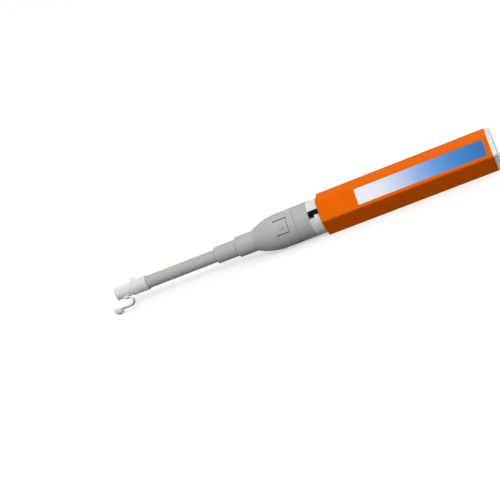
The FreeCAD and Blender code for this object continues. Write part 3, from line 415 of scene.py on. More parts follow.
def moulded(name, colour, roughness, texture=0.00002, drift=0.06, gloss=0.3):
    """Injection-moulded plastic: slow colour drift, spark-eroded texture, rubbed streaks."""
    material, nodes, links, shader, place = shaded(name)
    shader.inputs["Specular IOR Level"].default_value = gloss
    cloudy = between(nodes, links, noise(nodes, links, place, 90), 0, 1)
    tone = mixed(nodes, links, cloudy, tinted(colour, 1 - drift), tinted(colour, 1 + drift))
    streaks = noise(nodes, links, place, 500, 4, (0.12, 1, 1))
    rubbed = between(nodes, links, streaks, 0, 1, 0.6, 0.75)
    worn = mixed(nodes, links, rubbed, tone, tinted(colour, 1 + 2 * drift))
    links.new(worn, shader.inputs["Base Color"])
    shine = between(nodes, links, streaks, roughness - 0.07, roughness + 0.07)
    links.new(shine, shader.inputs["Roughness"])
    relief(nodes, links, shader, noise(nodes, links, place, 3200, 2), 0.5, texture)
    return material


orange_plastic = moulded("orange_plastic", paint("E96705"), 0.5, drift=0.035, gloss=0.01)

label_start, label_end = span("label")
recess = prism(
    plate_outline(
        (label_start - LABEL_GAP, label_end + LABEL_GAP),
        (-LABEL_WIDTH / 2, LABEL_WIDTH / 2),
        LABEL_CORNER,
    ),
    half_flats - LABEL_DEPTH,
    half_flats + TOOL_REACH,
)
end_arc = [math.radians(90 * step / 4) for step in range(5)]
outer_rings = [
    hex_ring(front + BARREL_END * (1 - math.cos(a)), BARREL_END * (1 - math.sin(a)))
    for a in end_arc
]
outer_rings.append(hex_ring(front + 2 * BARREL_END, 0))
outer_rings.append(hex_ring(rear - 2 * BARREL_END, 0))
outer_rings += [
    hex_ring(rear - BARREL_END * (1 - math.cos(a)), BARREL_END * (1 - math.sin(a)))
    for a in reversed(end_arc)
]
bore_rings = [
    round_ring(rear - BORE_EDGE * (1 - math.sin(a)), BARREL_BORE + BORE_EDGE * (1 - math.cos(a)))
    for a in reversed(end_arc)
]
bore_rings += [
    round_ring(front + BORE_EDGE * (1 - math.sin(a)), BARREL_BORE + BORE_EDGE * (1 - math.cos(a)))
    for a in end_arc
]
barrel = finish_mesh(
    "barrel_grip",
    joined(skin(outer_rings + bore_rings, True), [recess], "DIFFERENCE"),
    rolled(PEN_ROLL),
    orange_plastic,
)
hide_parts("barrel")
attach(barrel, "barrel")

# --- Label ------------------------------------------------------------------------------
# A printed film sticker with a matt laminate, set flush in the barrel's recess.
# Its print runs from white at the front, through pale blue, to a full blue at the rear.
LABEL_TONES = (
    (0.0, "EEEDF5"),
    (0.18, "E6E7F4"),
    (0.36, "BECBEC"),
    (0.48, "93AFE4"),
    (0.6, "6B9CDC"),
    (0.76, "3D84CB"),
    (1.0, "156CB4"),
)


def printed_film():
    """Printed sticker: a gradient along its length, print grain and a matt laminate."""
    material, nodes, links, shader, place = shaded("label_film")
    parts = nodes.new("ShaderNodeSeparateXYZ")
    links.new(place, parts.inputs["Vector"])
    along = nodes.new("ShaderNodeMapRange")
    along.inputs["From Min"].default_value = label_start * MM
    along.inputs["From Max"].default_value = label_end * MM
    links.new(parts.outputs["X"], along.inputs["Value"])
    ramp = nodes.new("ShaderNodeValToRGB")
    stops = ramp.color_ramp.elements
    stops[0].position, stops[1].position = LABEL_TONES[0][0], LABEL_TONES[-1][0]
    stops[0].color, stops[1].color = paint(LABEL_TONES[0][1]), paint(LABEL_TONES[-1][1])
    for spot, tone in LABEL_TONES[1:-1]:
        stops.new(spot).color = paint(tone)
    links.new(along.outputs["Result"], ramp.inputs["Fac"])
    grain = between(nodes, links, noise(nodes, links, place, 6000, 2), 0, 0.03)
    links.new(
        mixed(nodes, links, grain, ramp.outputs["Color"], (1.0, 1.0, 1.0, 1.0)),
        shader.inputs["Base Color"],
    )
    shader.inputs["Specular IOR Level"].default_value = 0.08
    wear = between(nodes, links, noise(nodes, links, place, 700, 4, (0.2, 1, 1)), 0.36, 0.5)
    links.new(wear, shader.inputs["Roughness"])
    relief(nodes, links, shader, noise(nodes, links, place, 260, 3), 0.4, 0.00002)
    return material


film_outline = plate_outline(
    (label_start, label_end),
    (LABEL_GAP - LABEL_WIDTH / 2, LABEL_WIDTH / 2 - LABEL_GAP),
    LABEL_CORNER,
)
label = finish_mesh(
    "label_sticker",
    prism(film_outline, half_flats - LABEL_DEPTH, half_flats),
    rolled(PEN_ROLL),
    printed_film(),
)
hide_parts("label")
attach(label, "barrel")

# --- Rear cap ---------------------------------------------------------------------------
# Pale translucent plug whose rim closes the barrel. Its tube slides into the bore, stops
# the carriage and holds the return spring on a round post.
CAP_INSET = 0.25
CAP_EDGE = 0.7
CAP_TUBE = 9.08
CAP_WALL = 1.0
POST_RADIUS = 2.4
POST_LENGTH = 3.0
CAP_CENTRE = 0.3
SOFT_EDGE = 0.12


def clear_white(name, colour, roughness, clarity):
    """Milky unpigmented plastic that lets some light through."""
    material = moulded(name, paint(colour), roughness, drift=0.02)
    shader = material.node_tree.nodes["Principled BSDF"]
    shader.inputs["Transmission Weight"].default_value = clarity
    shader.inputs["IOR"].default_value = 1.47
    shader.inputs["Subsurface Weight"].default_value = 0.25
    shader.inputs["Subsurface Radius"].default_value = (0.0012, 0.0012, 0.0012)
    shader.inputs["Subsurface Scale"].default_value = 1.0
    return material


milky_plastic = clear_white("milky_plastic", "F3F5F6", 0.34, 0.3)
cap_tube_front, cap_rear = span("rear_cap")
cap_rings = [round_ring(cap_rear, CAP_CENTRE * half_flats)]
cap_rings += [
    hex_ring(cap_rear - CAP_EDGE * (1 - math.cos(a)), CAP_INSET + CAP_EDGE * (1 - math.sin(a)))
    for a in end_arc
]
cap_rings.append(hex_ring(rear + SOFT_EDGE, CAP_INSET))
cap_rings.append(hex_ring(rear, CAP_INSET + SOFT_EDGE))
cap_rings += [
    round_ring(rear, CAP_TUBE + SOFT_EDGE),
    round_ring(rear - SOFT_EDGE, CAP_TUBE),
    round_ring(cap_tube_front + 2 * SOFT_EDGE, CAP_TUBE),
    round_ring(cap_tube_front + SOFT_EDGE, CAP_TUBE),
    round_ring(cap_tube_front, CAP_TUBE - SOFT_EDGE),
    round_ring(cap_tube_front, CAP_TUBE - CAP_WALL + SOFT_EDGE),
    round_ring(cap_tube_front + SOFT_EDGE, CAP_TUBE - CAP_WALL),
    round_ring(rear, CAP_TUBE - CAP_WALL),
    round_ring(rear, POST_RADIUS + SOFT_EDGE),
    round_ring(rear - SOFT_EDGE, POST_RADIUS),
    round_ring(rear - POST_LENGTH + SOFT_EDGE, POST_RADIUS),
    round_ring(rear - POST_LENGTH, POST_RADIUS - SOFT_EDGE),
]
rear_cap = finish_mesh("rear_plug", skin(cap_rings, False), rolled(PEN_ROLL), milky_plastic)
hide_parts("rear_cap")
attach(rear_cap, "barrel")

# --- Sleeve -----------------------------------------------------------------------------
# White carriage tube. Its front end shows between barrel and collar, with a square window
# that the bearing plate's hook clips into. A thinner guide in front carries the nozzle.
SLEEVE_RADIUS = 9.0
SLEEVE_BORE = 7.9
SLEEVE_EXPOSED = 5.5
SPIGOT_RADIUS = 8.2
SPIGOT_DEPTH = 1.2
GUIDE_RADIUS = 7.7
GUIDE_BORE = 6.7
END_GAP = 0.2
WINDOW_LENGTH = 7.5
WINDOW_WIDTH = 4.3
WINDOW_CORNER = 0.35
RAIL_SLOT_LENGTH = 49.3
RAIL_SLOT_SIDES = (-1.6, 3.8)
RAIL_SLOT_TOP = 4.4
HOOK_SLOT_CORNER = 0.2
SKIRT_LENGTH = 10.6
TAB_LENGTH = 6.8
HOOK = (1.0, 2.4, 0.5)
EXTEND_TRAVEL = 7.0
SLIDE_FIT = 0.1
TURN_STEPS = 128


def turned_tree():
    """Node group that sweeps an outline of (radius, along) points round the pen's axis."""
    tree = bpy.data.node_groups.new("turned_moulding", "GeometryNodeTree")
    sockets = tree.interface
    sockets.new_socket("Outline", in_out="INPUT", socket_type="NodeSocketGeometry")
    sockets.new_socket("Steps", in_out="INPUT", socket_type="NodeSocketInt")
    sockets.new_socket("Ring Radius", in_out="INPUT", socket_type="NodeSocketFloat")
    sockets.new_socket("Material", in_out="INPUT", socket_type="NodeSocketMaterial")
    sockets.new_socket("Moulding", in_out="OUTPUT", socket_type="NodeSocketGeometry")
    nodes = tree.nodes
    links = tree.links
    given = nodes.new("NodeGroupInput")
    made = nodes.new("NodeGroupOutput")
    circle = nodes.new("GeometryNodeCurvePrimitiveCircle")
    upright_normals = nodes.new("GeometryNodeSetCurveNormal")
    upright_normals.mode = "Z_UP"
    outline = nodes.new("GeometryNodeMeshToCurve")
    centred = nodes.new("GeometryNodeTransform")
    offset = nodes.new("ShaderNodeCombineXYZ")
    negative = nodes.new("ShaderNodeMath")
    negative.operation = "MULTIPLY"
    negative.inputs[1].default_value = -1
    sweep = nodes.new("GeometryNodeCurveToMesh")
    real = nodes.new("GeometryNodeRealizeInstances")
    coat = nodes.new("GeometryNodeSetMaterial")
    links.new(given.outputs["Steps"], circle.inputs["Resolution"])
    links.new(given.outputs["Ring Radius"], circle.inputs["Radius"])
    links.new(circle.outputs["Curve"], upright_normals.inputs["Curve"])
    links.new(given.outputs["Outline"], outline.inputs["Mesh"])
    links.new(given.outputs["Ring Radius"], negative.inputs[0])
    links.new(negative.outputs[0], offset.inputs["X"])
    links.new(outline.outputs["Curve"], centred.inputs["Geometry"])
    links.new(offset.outputs["Vector"], centred.inputs["Translation"])
    links.new(upright_normals.outputs["Curve"], sweep.inputs["Curve"])
    links.new(centred.outputs["Geometry"], sweep.inputs["Profile Curve"])
    links.new(sweep.outputs["Mesh"], real.inputs["Geometry"])
    links.new(real.outputs["Geometry"], coat.inputs["Geometry"])
    links.new(given.outputs["Material"], coat.inputs["Material"])
    links.new(coat.outputs["Geometry"], made.inputs["Moulding"])
    return tree


TURNED = turned_tree()


def grown_by(tree, mesh, **values):
    """Mesh that a node group makes from a mesh, with its inputs set by their names."""
    helper = bpy.data.objects.new("helper", mesh)
    scene.collection.objects.link(helper)
    modifier = helper.modifiers.new("growth", "NODES")
    modifier.node_group = tree
    for item in tree.interface.items_tree:
        key = item.name.replace(" ", "_")
        if item.in_out == "INPUT" and key in values:
            modifier[item.identifier] = values[key]
    evaluated = helper.evaluated_get(bpy.context.evaluated_depsgraph_get())
    result = bpy.data.meshes.new_from_object(evaluated)
    bpy.data.objects.remove(helper)
    return result


def turned(corners, material):
    """Closed ring moulding turned about the X axis from (along, radius, rounding) corners."""
    outline = rounded(corners)
    wire = bpy.data.meshes.new("outline")
    edges = [(i, (i + 1) % len(outline)) for i in range(len(outline))]
    wire.from_pydata([(radius, along, 0) for along, radius in outline], edges, [])
    mean = sum(point[1] for point in outline) / len(outline)
    mesh = grown_by(TURNED, wire, Steps=TURN_STEPS, Ring_Radius=mean, Material=material)
    mesh.transform(Matrix.Rotation(math.radians(-90), 4, "Y"))
    form = bmesh.new()
    form.from_mesh(mesh)
    bmesh.ops.recalc_face_normals(form, faces=form.faces)
    form.to_mesh(mesh)
    form.free()
    return mesh


white_plastic = moulded("white_plastic", paint("DADBDB"), 0.4, drift=0.02)
guide_front, sleeve_rear = span("inner_sleeve")
collar_rear = front - SLEEVE_EXPOSED
seam = span("nozzle")[1]
window_end = collar_rear + WINDOW_LENGTH
sleeve_mesh = turned(
    [
        (guide_front, GUIDE_BORE, 0.1),
        (guide_front, GUIDE_RADIUS, 0.25),
        (seam + END_GAP, GUIDE_RADIUS, 0),
        (seam + END_GAP, SPIGOT_RADIUS, 0.15),
        (collar_rear, SPIGOT_RADIUS, 0),
        (collar_rear, SLEEVE_RADIUS, 0.12),
        (sleeve_rear, SLEEVE_RADIUS, 0.12),
        (sleeve_rear, SLEEVE_BORE, 0.12),
        (collar_rear + SPIGOT_DEPTH, SLEEVE_BORE, 0.2),
        (collar_rear + SPIGOT_DEPTH, GUIDE_BORE, 0.2),
    ],
    white_plastic,
)
window = prism(
    plate_outline((collar_rear, window_end), (-WINDOW_WIDTH / 2, WINDOW_WIDTH / 2), WINDOW_CORNER),
    GUIDE_BORE - TOOL_REACH,
    half_flats,
)
rail_slot = prism(
    plate_outline(
        (sleeve_rear - RAIL_SLOT_LENGTH, sleeve_rear + TOOL_REACH), RAIL_SLOT_SIDES, WINDOW_CORNER
    ),
    -half_flats,
    -RAIL_SLOT_TOP,
)
nozzle_front = span("nozzle")[0]
hook_rear = seam - SKIRT_LENGTH + TAB_LENGTH
hook_slot = prism(
    plate_outline(
        (hook_rear - HOOK[0] - EXTEND_TRAVEL - SLIDE_FIT, hook_rear + SLIDE_FIT),
        (-HOOK[1] / 2 - SLIDE_FIT, HOOK[1] / 2 + SLIDE_FIT),
        HOOK_SLOT_CORNER,
    ),
    GUIDE_BORE - TOOL_REACH,
    half_flats,
)
sleeve = finish_mesh(
    "carriage_sleeve",
    joined(sleeve_mesh, [window, rail_slot, hook_slot], "DIFFERENCE"),
    rolled(PEN_ROLL),
    white_plastic,
)
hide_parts("inner_sleeve")
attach(sleeve, "carriage")

# --- Collar -----------------------------------------------------------------------------
# Short grey ring on the sleeve's spigot; the nozzle's skirt closes up against it.
grey_plastic = moulded("grey_plastic", paint("AEB1AB"), 0.5, texture=0.00003, drift=0.03)
SEAT_FIT = 0.02
collar = finish_mesh(
    "collar_ring",
    turned(
        [
            (seam + SEAT_FIT, SPIGOT_RADIUS + SEAT_FIT, 0.05),
            (seam + SEAT_FIT, SLEEVE_RADIUS, 0.25),
            (collar_rear, SLEEVE_RADIUS, 0.25),
            (collar_rear, SPIGOT_RADIUS + SEAT_FIT, 0.05),
        ],
        grey_plastic,
    ),
    rolled(PEN_ROLL),
    grey_plastic,
)
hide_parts("collar")
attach(collar, "carriage")

# --- Nozzle -----------------------------------------------------------------------------
# Grey moulding that slides on the sleeve's guide: a skirt, a crowned cone and three tubes
# that step down to the tip. A springy tab, cut free on three sides, locks it in place.
CONE_LENGTH = 12.4
CONE_TIP = 5.7
CONE_CROWN = 34.0
REAR_TUBE = (10.8, 5.3)
MIDDLE_TUBE = (12.0, 4.35)
FRONT_TUBE = 3.3
TUBE_WALL = 1.0
SHOULDER = 0.9
INNER_SHOULDER = 1.1
HEAD_BORE = (4.0, 1.3)
HEAD_BORE_STEP = 0.6
TAB_WIDTH = 7.5
TAB_SLOT = 0.6
NOTCH = (4.0, 3.2)
NOTCH_CORNER = 0.4
MARK_LENGTH = 3.2
MARK_WIDTH = 4.0
MARK_HEAD = 1.8
MARK_STEM = 1.6
MARK_RISE = 0.45
SKIRT_WALL = 1.2

cone_rear = seam - SKIRT_LENGTH
cone_front = cone_rear - CONE_LENGTH
rear_tube_front = cone_front - REAR_TUBE[0]
middle_tube_front = rear_tube_front - MIDDLE_TUBE[0]


def crowned(start, end, radius, steps=14):
    """Corners along a shallow arc between two points, which bulges outwards."""
    start, end = Vector(start), Vector(end)
    chord = end - start
    half = chord.length / 2
    side = Vector((-chord.y, chord.x)).normalized()
    if side.y < 0:
        side.negate()
    middle = (start + end) / 2 - side * math.sqrt(radius**2 - half**2)
    first = start - middle
    sweep = first.angle_signed(end - middle)
    points = []
    for step in range(1, steps):
        spot = middle + Matrix.Rotation(-sweep * step / steps, 2) @ first
        points.append((spot.x, spot.y, 0))
    return points


nozzle_mesh = turned(
    [
        (seam, GUIDE_RADIUS + SLIDE_FIT, 0.1),
        (seam, SLEEVE_RADIUS, 0.25),
        (cone_rear, SLEEVE_RADIUS, 0),
        *crowned((cone_rear, SLEEVE_RADIUS), (cone_front, CONE_TIP), CONE_CROWN),
        (cone_front, CONE_TIP, 0.15),
        (cone_front, REAR_TUBE[1], 0.1),
        (rear_tube_front + SHOULDER, REAR_TUBE[1], 0.3),
        (rear_tube_front, MIDDLE_TUBE[1], 0.2),
        (middle_tube_front + SHOULDER, MIDDLE_TUBE[1], 0.3),
        (middle_tube_front, FRONT_TUBE, 0.2),
        (nozzle_front, FRONT_TUBE, 0.2),
        (nozzle_front, HEAD_BORE[1], 0.1),
        (nozzle_front + HEAD_BORE[0], HEAD_BORE[1], 0),
        (nozzle_front + HEAD_BORE[0] + HEAD_BORE_STEP, FRONT_TUBE - TUBE_WALL, 0),
        (middle_tube_front, FRONT_TUBE - TUBE_WALL, 0),
        (middle_tube_front + INNER_SHOULDER, MIDDLE_TUBE[1] - TUBE_WALL, 0),
        (rear_tube_front, MIDDLE_TUBE[1] - TUBE_WALL, 0),
        (rear_tube_front + INNER_SHOULDER, REAR_TUBE[1] - TUBE_WALL, 0),
        (cone_front, REAR_TUBE[1] - TUBE_WALL, 0),
        (guide_front - SLIDE_FIT, GUIDE_RADIUS + SLIDE_FIT, 0),
    ],
    grey_plastic,
)
tab_side = TAB_WIDTH / 2
tab_slot = prism(
    rounded(
        [
            (cone_rear, -tab_side - TAB_SLOT / 2, 0.15),
            (hook_rear + TAB_SLOT, -tab_side - TAB_SLOT / 2, 0.5),
            (hook_rear + TAB_SLOT, tab_side + TAB_SLOT / 2, 0.5),
            (cone_rear, tab_side + TAB_SLOT / 2, 0.15),
            (cone_rear, tab_side - TAB_SLOT / 2, 0.15),
            (hook_rear, tab_side - TAB_SLOT / 2, 0.3),
            (hook_rear, -tab_side + TAB_SLOT / 2, 0.3),
            (cone_rear, -tab_side + TAB_SLOT / 2, 0.15),
        ]
    ),
    GUIDE_BORE - TOOL_REACH,
    half_flats,
)
notch_outline = plate_outline(
    (seam - NOTCH[0], seam + TOOL_REACH), (-NOTCH[1] / 2, NOTCH[1] / 2), NOTCH_CORNER
)
notches = [
    prism(notch_outline, low, high, "Y")
    for low, high in ((-half_flats, -GUIDE_BORE), (GUIDE_BORE, half_flats))
]
mark_tip = cone_rear + (hook_rear - cone_rear) / 2 - MARK_LENGTH / 2
mark = prism(
    rounded(
        [
            (mark_tip, 0, 0.15),
            (mark_tip + MARK_HEAD, MARK_WIDTH / 2, 0.15),
            (mark_tip + MARK_HEAD, MARK_STEM / 2, 0.1),
            (mark_tip + MARK_LENGTH, MARK_STEM / 2, 0.15),
            (mark_tip + MARK_LENGTH, -MARK_STEM / 2, 0.15),
            (mark_tip + MARK_HEAD, -MARK_STEM / 2, 0.1),
            (mark_tip + MARK_HEAD, -MARK_WIDTH / 2, 0.15),
        ]
    ),
    SLEEVE_RADIUS - SKIRT_WALL / 2,
    SLEEVE_RADIUS + MARK_RISE,
)
hook = prism(
    plate_outline((hook_rear - HOOK[0], hook_rear), (-HOOK[1] / 2, HOOK[1] / 2), 0.1),
    GUIDE_RADIUS + SLIDE_FIT - HOOK[2],
    GUIDE_RADIUS + SLIDE_FIT + SKIRT_WALL / 2,
)
nozzle = finish_mesh(
    "nozzle_moulding",
    joined(joined(nozzle_mesh, [tab_slot, *notches], "DIFFERENCE"), [mark, hook], "UNION"),
    rolled(PEN_ROLL),
    grey_plastic,
)
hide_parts("nozzle")
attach(nozzle, "nose")

# --- Guide cap --------------------------------------------------------------------------
# Milky push-on cap. Its bore centres a ferrule in front of the cleaning head; a nub on top
# gives the thumb a hold, and a boss underneath carries the lid's strap.
CAP_ROLL = -35
CAP_RADIUS = 3.8
CAP_STEP = 0.2
MOUTH_LIP = 0.5
MOUTH_CHAMFER = 0.6
FERRULE_BORE = 1.27
FERRULE_LENGTH = 6.6
HEAD_ROOM = 1.6
CAP_BORE = 3.32
CAP_SHOULDER = 1.0
NUB = (10.0, 2.4, 1.8, 1.8)
NUB_EDGES = (0.5, 0.6)
STRAP_PLACE = 5.9
STRAP_THICKNESS = 0.8
STRAP_WIDTH = 2.6
STRAP_BEND = 2.2
STRAP_DROP = 8.3
BOSS_LENGTH = 2.0
BOSS_EDGES = (0.2, 0.12)
MOUTH_STEP = 0.1

mouth, cap_end = span("guide_cap")
guide_cap_mesh = turned(
    [
        (mouth, FERRULE_BORE + MOUTH_CHAMFER, 0.12),
        (mouth, CAP_RADIUS - CAP_STEP, 0.15),
        (mouth + MOUTH_LIP, CAP_RADIUS - CAP_STEP, 0.12),
        (mouth + MOUTH_LIP + MOUTH_STEP, CAP_RADIUS - 2 * CAP_STEP, 0.08),
        (nozzle_front - CAP_SHOULDER, CAP_RADIUS - 2 * CAP_STEP, 0.2),
        (nozzle_front - CAP_SHOULDER + 2 * CAP_STEP, CAP_RADIUS, 0.2),
        (cap_end, CAP_RADIUS, 0.2),
        (cap_end, CAP_BORE, 0.15),
        (nozzle_front - SLIDE_FIT, CAP_BORE, 0.1),
        (nozzle_front - SLIDE_FIT, HEAD_ROOM, 0.1),
        (mouth + MOUTH_CHAMFER + FERRULE_LENGTH, HEAD_ROOM, 0),
        (mouth + MOUTH_CHAMFER + FERRULE_LENGTH, FERRULE_BORE, 0.08),
        (mouth + MOUTH_CHAMFER, FERRULE_BORE, 0.1),
    ],
    milky_plastic,
)


def pillow(x, y, low, high, corner, top_edge):
    """Block with rounded corners and a rounded top."""
    rings = []
    middle = Vector(((x[0] + x[1]) / 2, (y[0] + y[1]) / 2))
    outline = plate_outline(x, y, corner)
    half = min(x[1] - x[0], y[1] - y[0]) / 2
    way = math.copysign(top_edge, high - low)
    levels = [(low, 0)]
    levels += [(high - way * (1 - math.sin(a)), top_edge * (1 - math.cos(a))) for a in end_arc]
    for height, inset in levels:
        share = 1 - inset / half
        ring = [middle + (Vector(point) - middle) * share for point in outline]
        rings.append([(a, b, height) for a, b in ring])
    return skin(rings, False)


nub_middle = mouth + NUB[0]
strap_x = mouth + STRAP_PLACE
nub = pillow(
    (nub_middle - NUB[1] / 2, nub_middle + NUB[1] / 2),
    (-NUB[2] / 2, NUB[2] / 2),
    CAP_BORE + CAP_STEP,
    CAP_RADIUS + NUB[3],
    *NUB_EDGES,
)
strap_top = STRAP_DROP - 2 * STRAP_BEND
boss = pillow(
    (strap_x - BOSS_LENGTH, strap_x),
    (-STRAP_WIDTH / 2 - SLIDE_FIT, STRAP_WIDTH / 2 + SLIDE_FIT),
    -CAP_RADIUS + 5 * CAP_STEP,
    -strap_top - STRAP_THICKNESS / 2,
    *BOSS_EDGES,
)
guide_cap = finish_mesh(
    "guide_cap_moulding",
    joined(guide_cap_mesh, [nub, boss], "UNION"),
    rolled(CAP_ROLL),
    milky_plastic,
)
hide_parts("guide_cap")
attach(guide_cap, "nose")

# --- Strap ------------------------------------------------------------------------------
# Thin band moulded with the cap: it leaves the boss rearwards, loops round under the cap and
# runs forward to the lid. On the real pen it bends when the lid is swung up to the mouth;
# here it keeps this one hanging shape and does not follow the lid.
LID_FORWARD = 1.15
LID_RADIUS = 2.6
LID_EAR = 0.35
BAND_EDGE = 0.25
BAND_STEP = 0.35
LOOP_STEPS = 28

lid_x = mouth - LID_FORWARD
lid_edge = lid_x + LID_RADIUS + LID_EAR
band_line = []
for step in range(LOOP_STEPS + 1):
    angle = math.radians(90 - 180 * step / LOOP_STEPS)
    outwards = Vector((math.cos(angle), math.sin(angle)))
    band_line.append((Vector((strap_x, STRAP_BEND - STRAP_DROP)) + outwards * STRAP_BEND, outwards))
run_steps = round((strap_x - lid_edge) / BAND_STEP)
for step in range(1, run_steps + 1):
    spot = Vector((strap_x - (strap_x - lid_edge) * step / run_steps, -STRAP_DROP))
    band_line.append((spot, Vector((0, -1))))
band_section = plate_outline(
    (-STRAP_THICKNESS / 2, STRAP_THICKNESS / 2), (-STRAP_WIDTH / 2, STRAP_WIDTH / 2), BAND_EDGE
)
band_rings = []
for spot, outwards in band_line:
    band_rings.append(
        [(spot.x + outwards.x * a, b, spot.y + outwards.y * a) for a, b in band_section]
    )
strap = finish_mesh("lid_strap", skin(band_rings, False), rolled(CAP_ROLL), milky_plastic, 50)
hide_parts("cap_strap")
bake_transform(strap)

# --- Lid --------------------------------------------------------------------------------
# Small domed lid at the strap's end, hanging open in front of and below the mouth.
# Its plug closes the ferrule bore.
LID_HEIGHT = 2.8
LID_DOME = 2.2
LID_LIP = 0.24
LID_POINTS = 72
PLUG = (0.8, 0.5)
PLUG_FOOT = 0.1
PLUG_EDGE = 0.15
EAR_CORNER = 0.15

lid_rim = STRAP_THICKNESS / 2 - STRAP_DROP
lid_foot = lid_rim - LID_HEIGHT
dome_arc = [math.radians(90 * step / 12) for step in range(13)]
lid_outline = [
    (LID_RADIUS - LID_DOME * (1 - math.sin(a)), lid_foot + LID_DOME * (1 - math.cos(a)))
    for a in dome_arc
]
lid_outline += [
    (LID_RADIUS - LID_LIP * (1 - math.sin(a)), lid_rim - LID_LIP * (1 - math.cos(a)))
    for a in reversed(end_arc)
]
lid_outline += [
    (PLUG[0] + PLUG_FOOT, lid_rim),
    (PLUG[0], lid_rim + PLUG_FOOT),
    (PLUG[0], lid_rim + PLUG[1] - PLUG_EDGE),
    (PLUG[0] - PLUG_EDGE, lid_rim + PLUG[1]),
]
lid_rings = []
for radius, height in lid_outline:
    turns = [2 * math.pi * i / LID_POINTS for i in range(LID_POINTS)]
    lid_rings.append([(lid_x + radius * math.cos(a), radius * math.sin(a), height) for a in turns])
ear = prism(
    plate_outline(
        (lid_x + LID_RADIUS / 2, lid_edge - SEAT_FIT),
        (-STRAP_WIDTH / 2, STRAP_WIDTH / 2),
        EAR_CORNER,
    ),
    -STRAP_DROP - STRAP_THICKNESS / 2,
    -STRAP_DROP + STRAP_THICKNESS / 2,
)
lid = finish_mesh(
    "flip_lid_moulding",
    joined(skin(lid_rings, False), [ear], "UNION"),
    rolled(CAP_ROLL),
    milky_plastic,
)
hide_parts("flip_lid")
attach(lid, "lid")

# --- Return spring ----------------------------------------------------------------------
# Cold-wound steel wire between the spring seat and the rear cap's post.
SPRING_RADIUS = 3.3
SPRING_WIRE = 0.8
SPRING_TURNS = 7


def coil_tree():
    """Node group that winds a wire into an open coil along the X axis."""
    tree = bpy.data.node_groups.new("wound_coil", "GeometryNodeTree")
    sockets = tree.interface
    for name, kind in (
        ("Turns", "Float"),
        ("Coil Radius", "Float"),
        ("Wire Radius", "Float"),
        ("Length", "Float"),
        ("Material", "Material"),
    ):
        sockets.new_socket(name, in_out="INPUT", socket_type="NodeSocket" + kind)
    sockets.new_socket("Coil", in_out="OUTPUT", socket_type="NodeSocketGeometry")
    nodes = tree.nodes
    links = tree.links
    given = nodes.new("NodeGroupInput")
    made = nodes.new("NodeGroupOutput")
    helix = nodes.new("GeometryNodeCurveSpiral")
    helix.inputs["Resolution"].default_value = 40
    wire = nodes.new("GeometryNodeCurvePrimitiveCircle")
    wire.inputs["Resolution"].default_value = 14
    sweep = nodes.new("GeometryNodeCurveToMesh")
    sweep.inputs["Fill Caps"].default_value = True
    real = nodes.new("GeometryNodeRealizeInstances")
    coat = nodes.new("GeometryNodeSetMaterial")
    links.new(given.outputs["Turns"], helix.inputs["Rotations"])
    links.new(given.outputs["Coil Radius"], helix.inputs["Start Radius"])
    links.new(given.outputs["Coil Radius"], helix.inputs["End Radius"])
    links.new(given.outputs["Length"], helix.inputs["Height"])
    links.new(given.outputs["Wire Radius"], wire.inputs["Radius"])
    links.new(helix.outputs["Curve"], sweep.inputs["Curve"])
    links.new(wire.outputs["Curve"], sweep.inputs["Profile Curve"])
    links.new(sweep.outputs["Mesh"], real.inputs["Geometry"])
    links.new(real.outputs["Geometry"], coat.inputs["Geometry"])
    links.new(given.outputs["Material"], coat.inputs["Material"])
    links.new(coat.outputs["Geometry"], made.inputs["Coil"])
    return tree


def metal(name, colour, roughness, stretch):
    """Bare metal with drawn or turned marks."""
    material, nodes, links, shader, place = shaded(name)
    shader.inputs["Metallic"].default_value = 1.0
    marks = noise(nodes, links, place, 2500, 3, stretch)
    tone = mixed(nodes, links, marks, tinted(colour, 0.85), tinted(colour, 1.1))
    links.new(tone, shader.inputs["Base Color"])
    shine = between(nodes, links, marks, roughness - 0.06, roughness + 0.08)
    links.new(shine, shader.inputs["Roughness"])
    relief(nodes, links, shader, marks, 0.3, 0.00001)
    return material


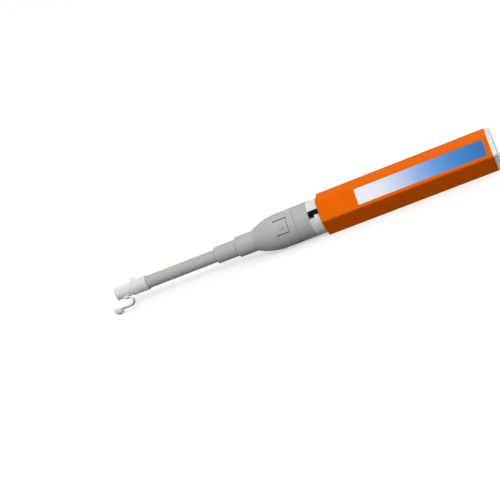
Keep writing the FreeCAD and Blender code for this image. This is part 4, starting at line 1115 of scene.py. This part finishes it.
spring_steel = metal("spring_steel", paint("B8B6B2"), 0.3, (1, 1, 1))
spring_front, spring_rear = span("return_spring")
spring_length = spring_rear - spring_front - SPRING_WIRE
coil_mesh = grown_by(
    coil_tree(),
    bpy.data.meshes.new("empty"),
    Turns=float(SPRING_TURNS),
    Coil_Radius=SPRING_RADIUS,
    Wire_Radius=SPRING_WIRE / 2,
    Length=spring_length,
    Material=spring_steel,
)
coil_mesh.transform(Matrix.Rotation(math.radians(90), 4, "Y"))
coil_mesh.transform(Matrix.Translation((spring_front + SPRING_WIRE / 2, 0, 0)))
spring = finish_mesh("spring_coil", coil_mesh, rolled(PEN_ROLL), spring_steel, 60)
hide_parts("return_spring")
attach(spring, "barrel")
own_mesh(spring)

# --- Inner works ------------------------------------------------------------------------
# Tape drive inside the carriage, and the turning shaft and head in the nozzle. These keep
# their CAD shapes and get their materials here.
black_plastic = moulded("black_plastic", paint("2B2B2C"), 0.42, drift=0.1)
bright_steel = metal("bright_steel", paint("C9C8C5"), 0.22, (0.1, 1, 1))


def woven_tape():
    """Fine white woven cleaning tape."""
    material, nodes, links, shader, place = shaded("cleaning_tape")
    weave = nodes.new("ShaderNodeTexWave")
    weave.inputs["Scale"].default_value = 4000
    weave.inputs["Distortion"].default_value = 1.5
    links.new(place, weave.inputs["Vector"])
    links.new(
        mixed(nodes, links, weave.outputs["Fac"], paint("E4E4E0"), paint("F6F6F4")),
        shader.inputs["Base Color"],
    )
    shader.inputs["Roughness"].default_value = 0.85
    shader.inputs["Sheen Weight"].default_value = 0.2
    relief(nodes, links, shader, weave.outputs["Fac"], 0.4, 0.00002)
    return material


tape_finish = woven_tape()
INNER_FINISHES = (
    (orange_plastic, ("drive_rack", "cam_follower")),
    (white_plastic, ("bearing_plate", "spring_seat", "reel_frame_left", "reel_frame_right")),
    (white_plastic, ("take_up_reel", "supply_reel", "pinion", "ratchet_pawl", "cleaning_head")),
    (black_plastic, ("cam_shaft", "ratchet_wheel", "brake_washer")),
    (bright_steel, ("take_up_axle", "supply_axle", "cleaning_shaft")),
    (tape_finish, ("take_up_roll", "supply_roll")),
    (tape_finish, ("tape_reel_run", "tape_nozzle_run", "tape_tip_wrap")),
)
for finish, nodes_inside in INNER_FINISHES:
    for node in nodes_inside:
        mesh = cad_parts[node].data
        mesh.materials.clear()
        mesh.materials.append(finish)
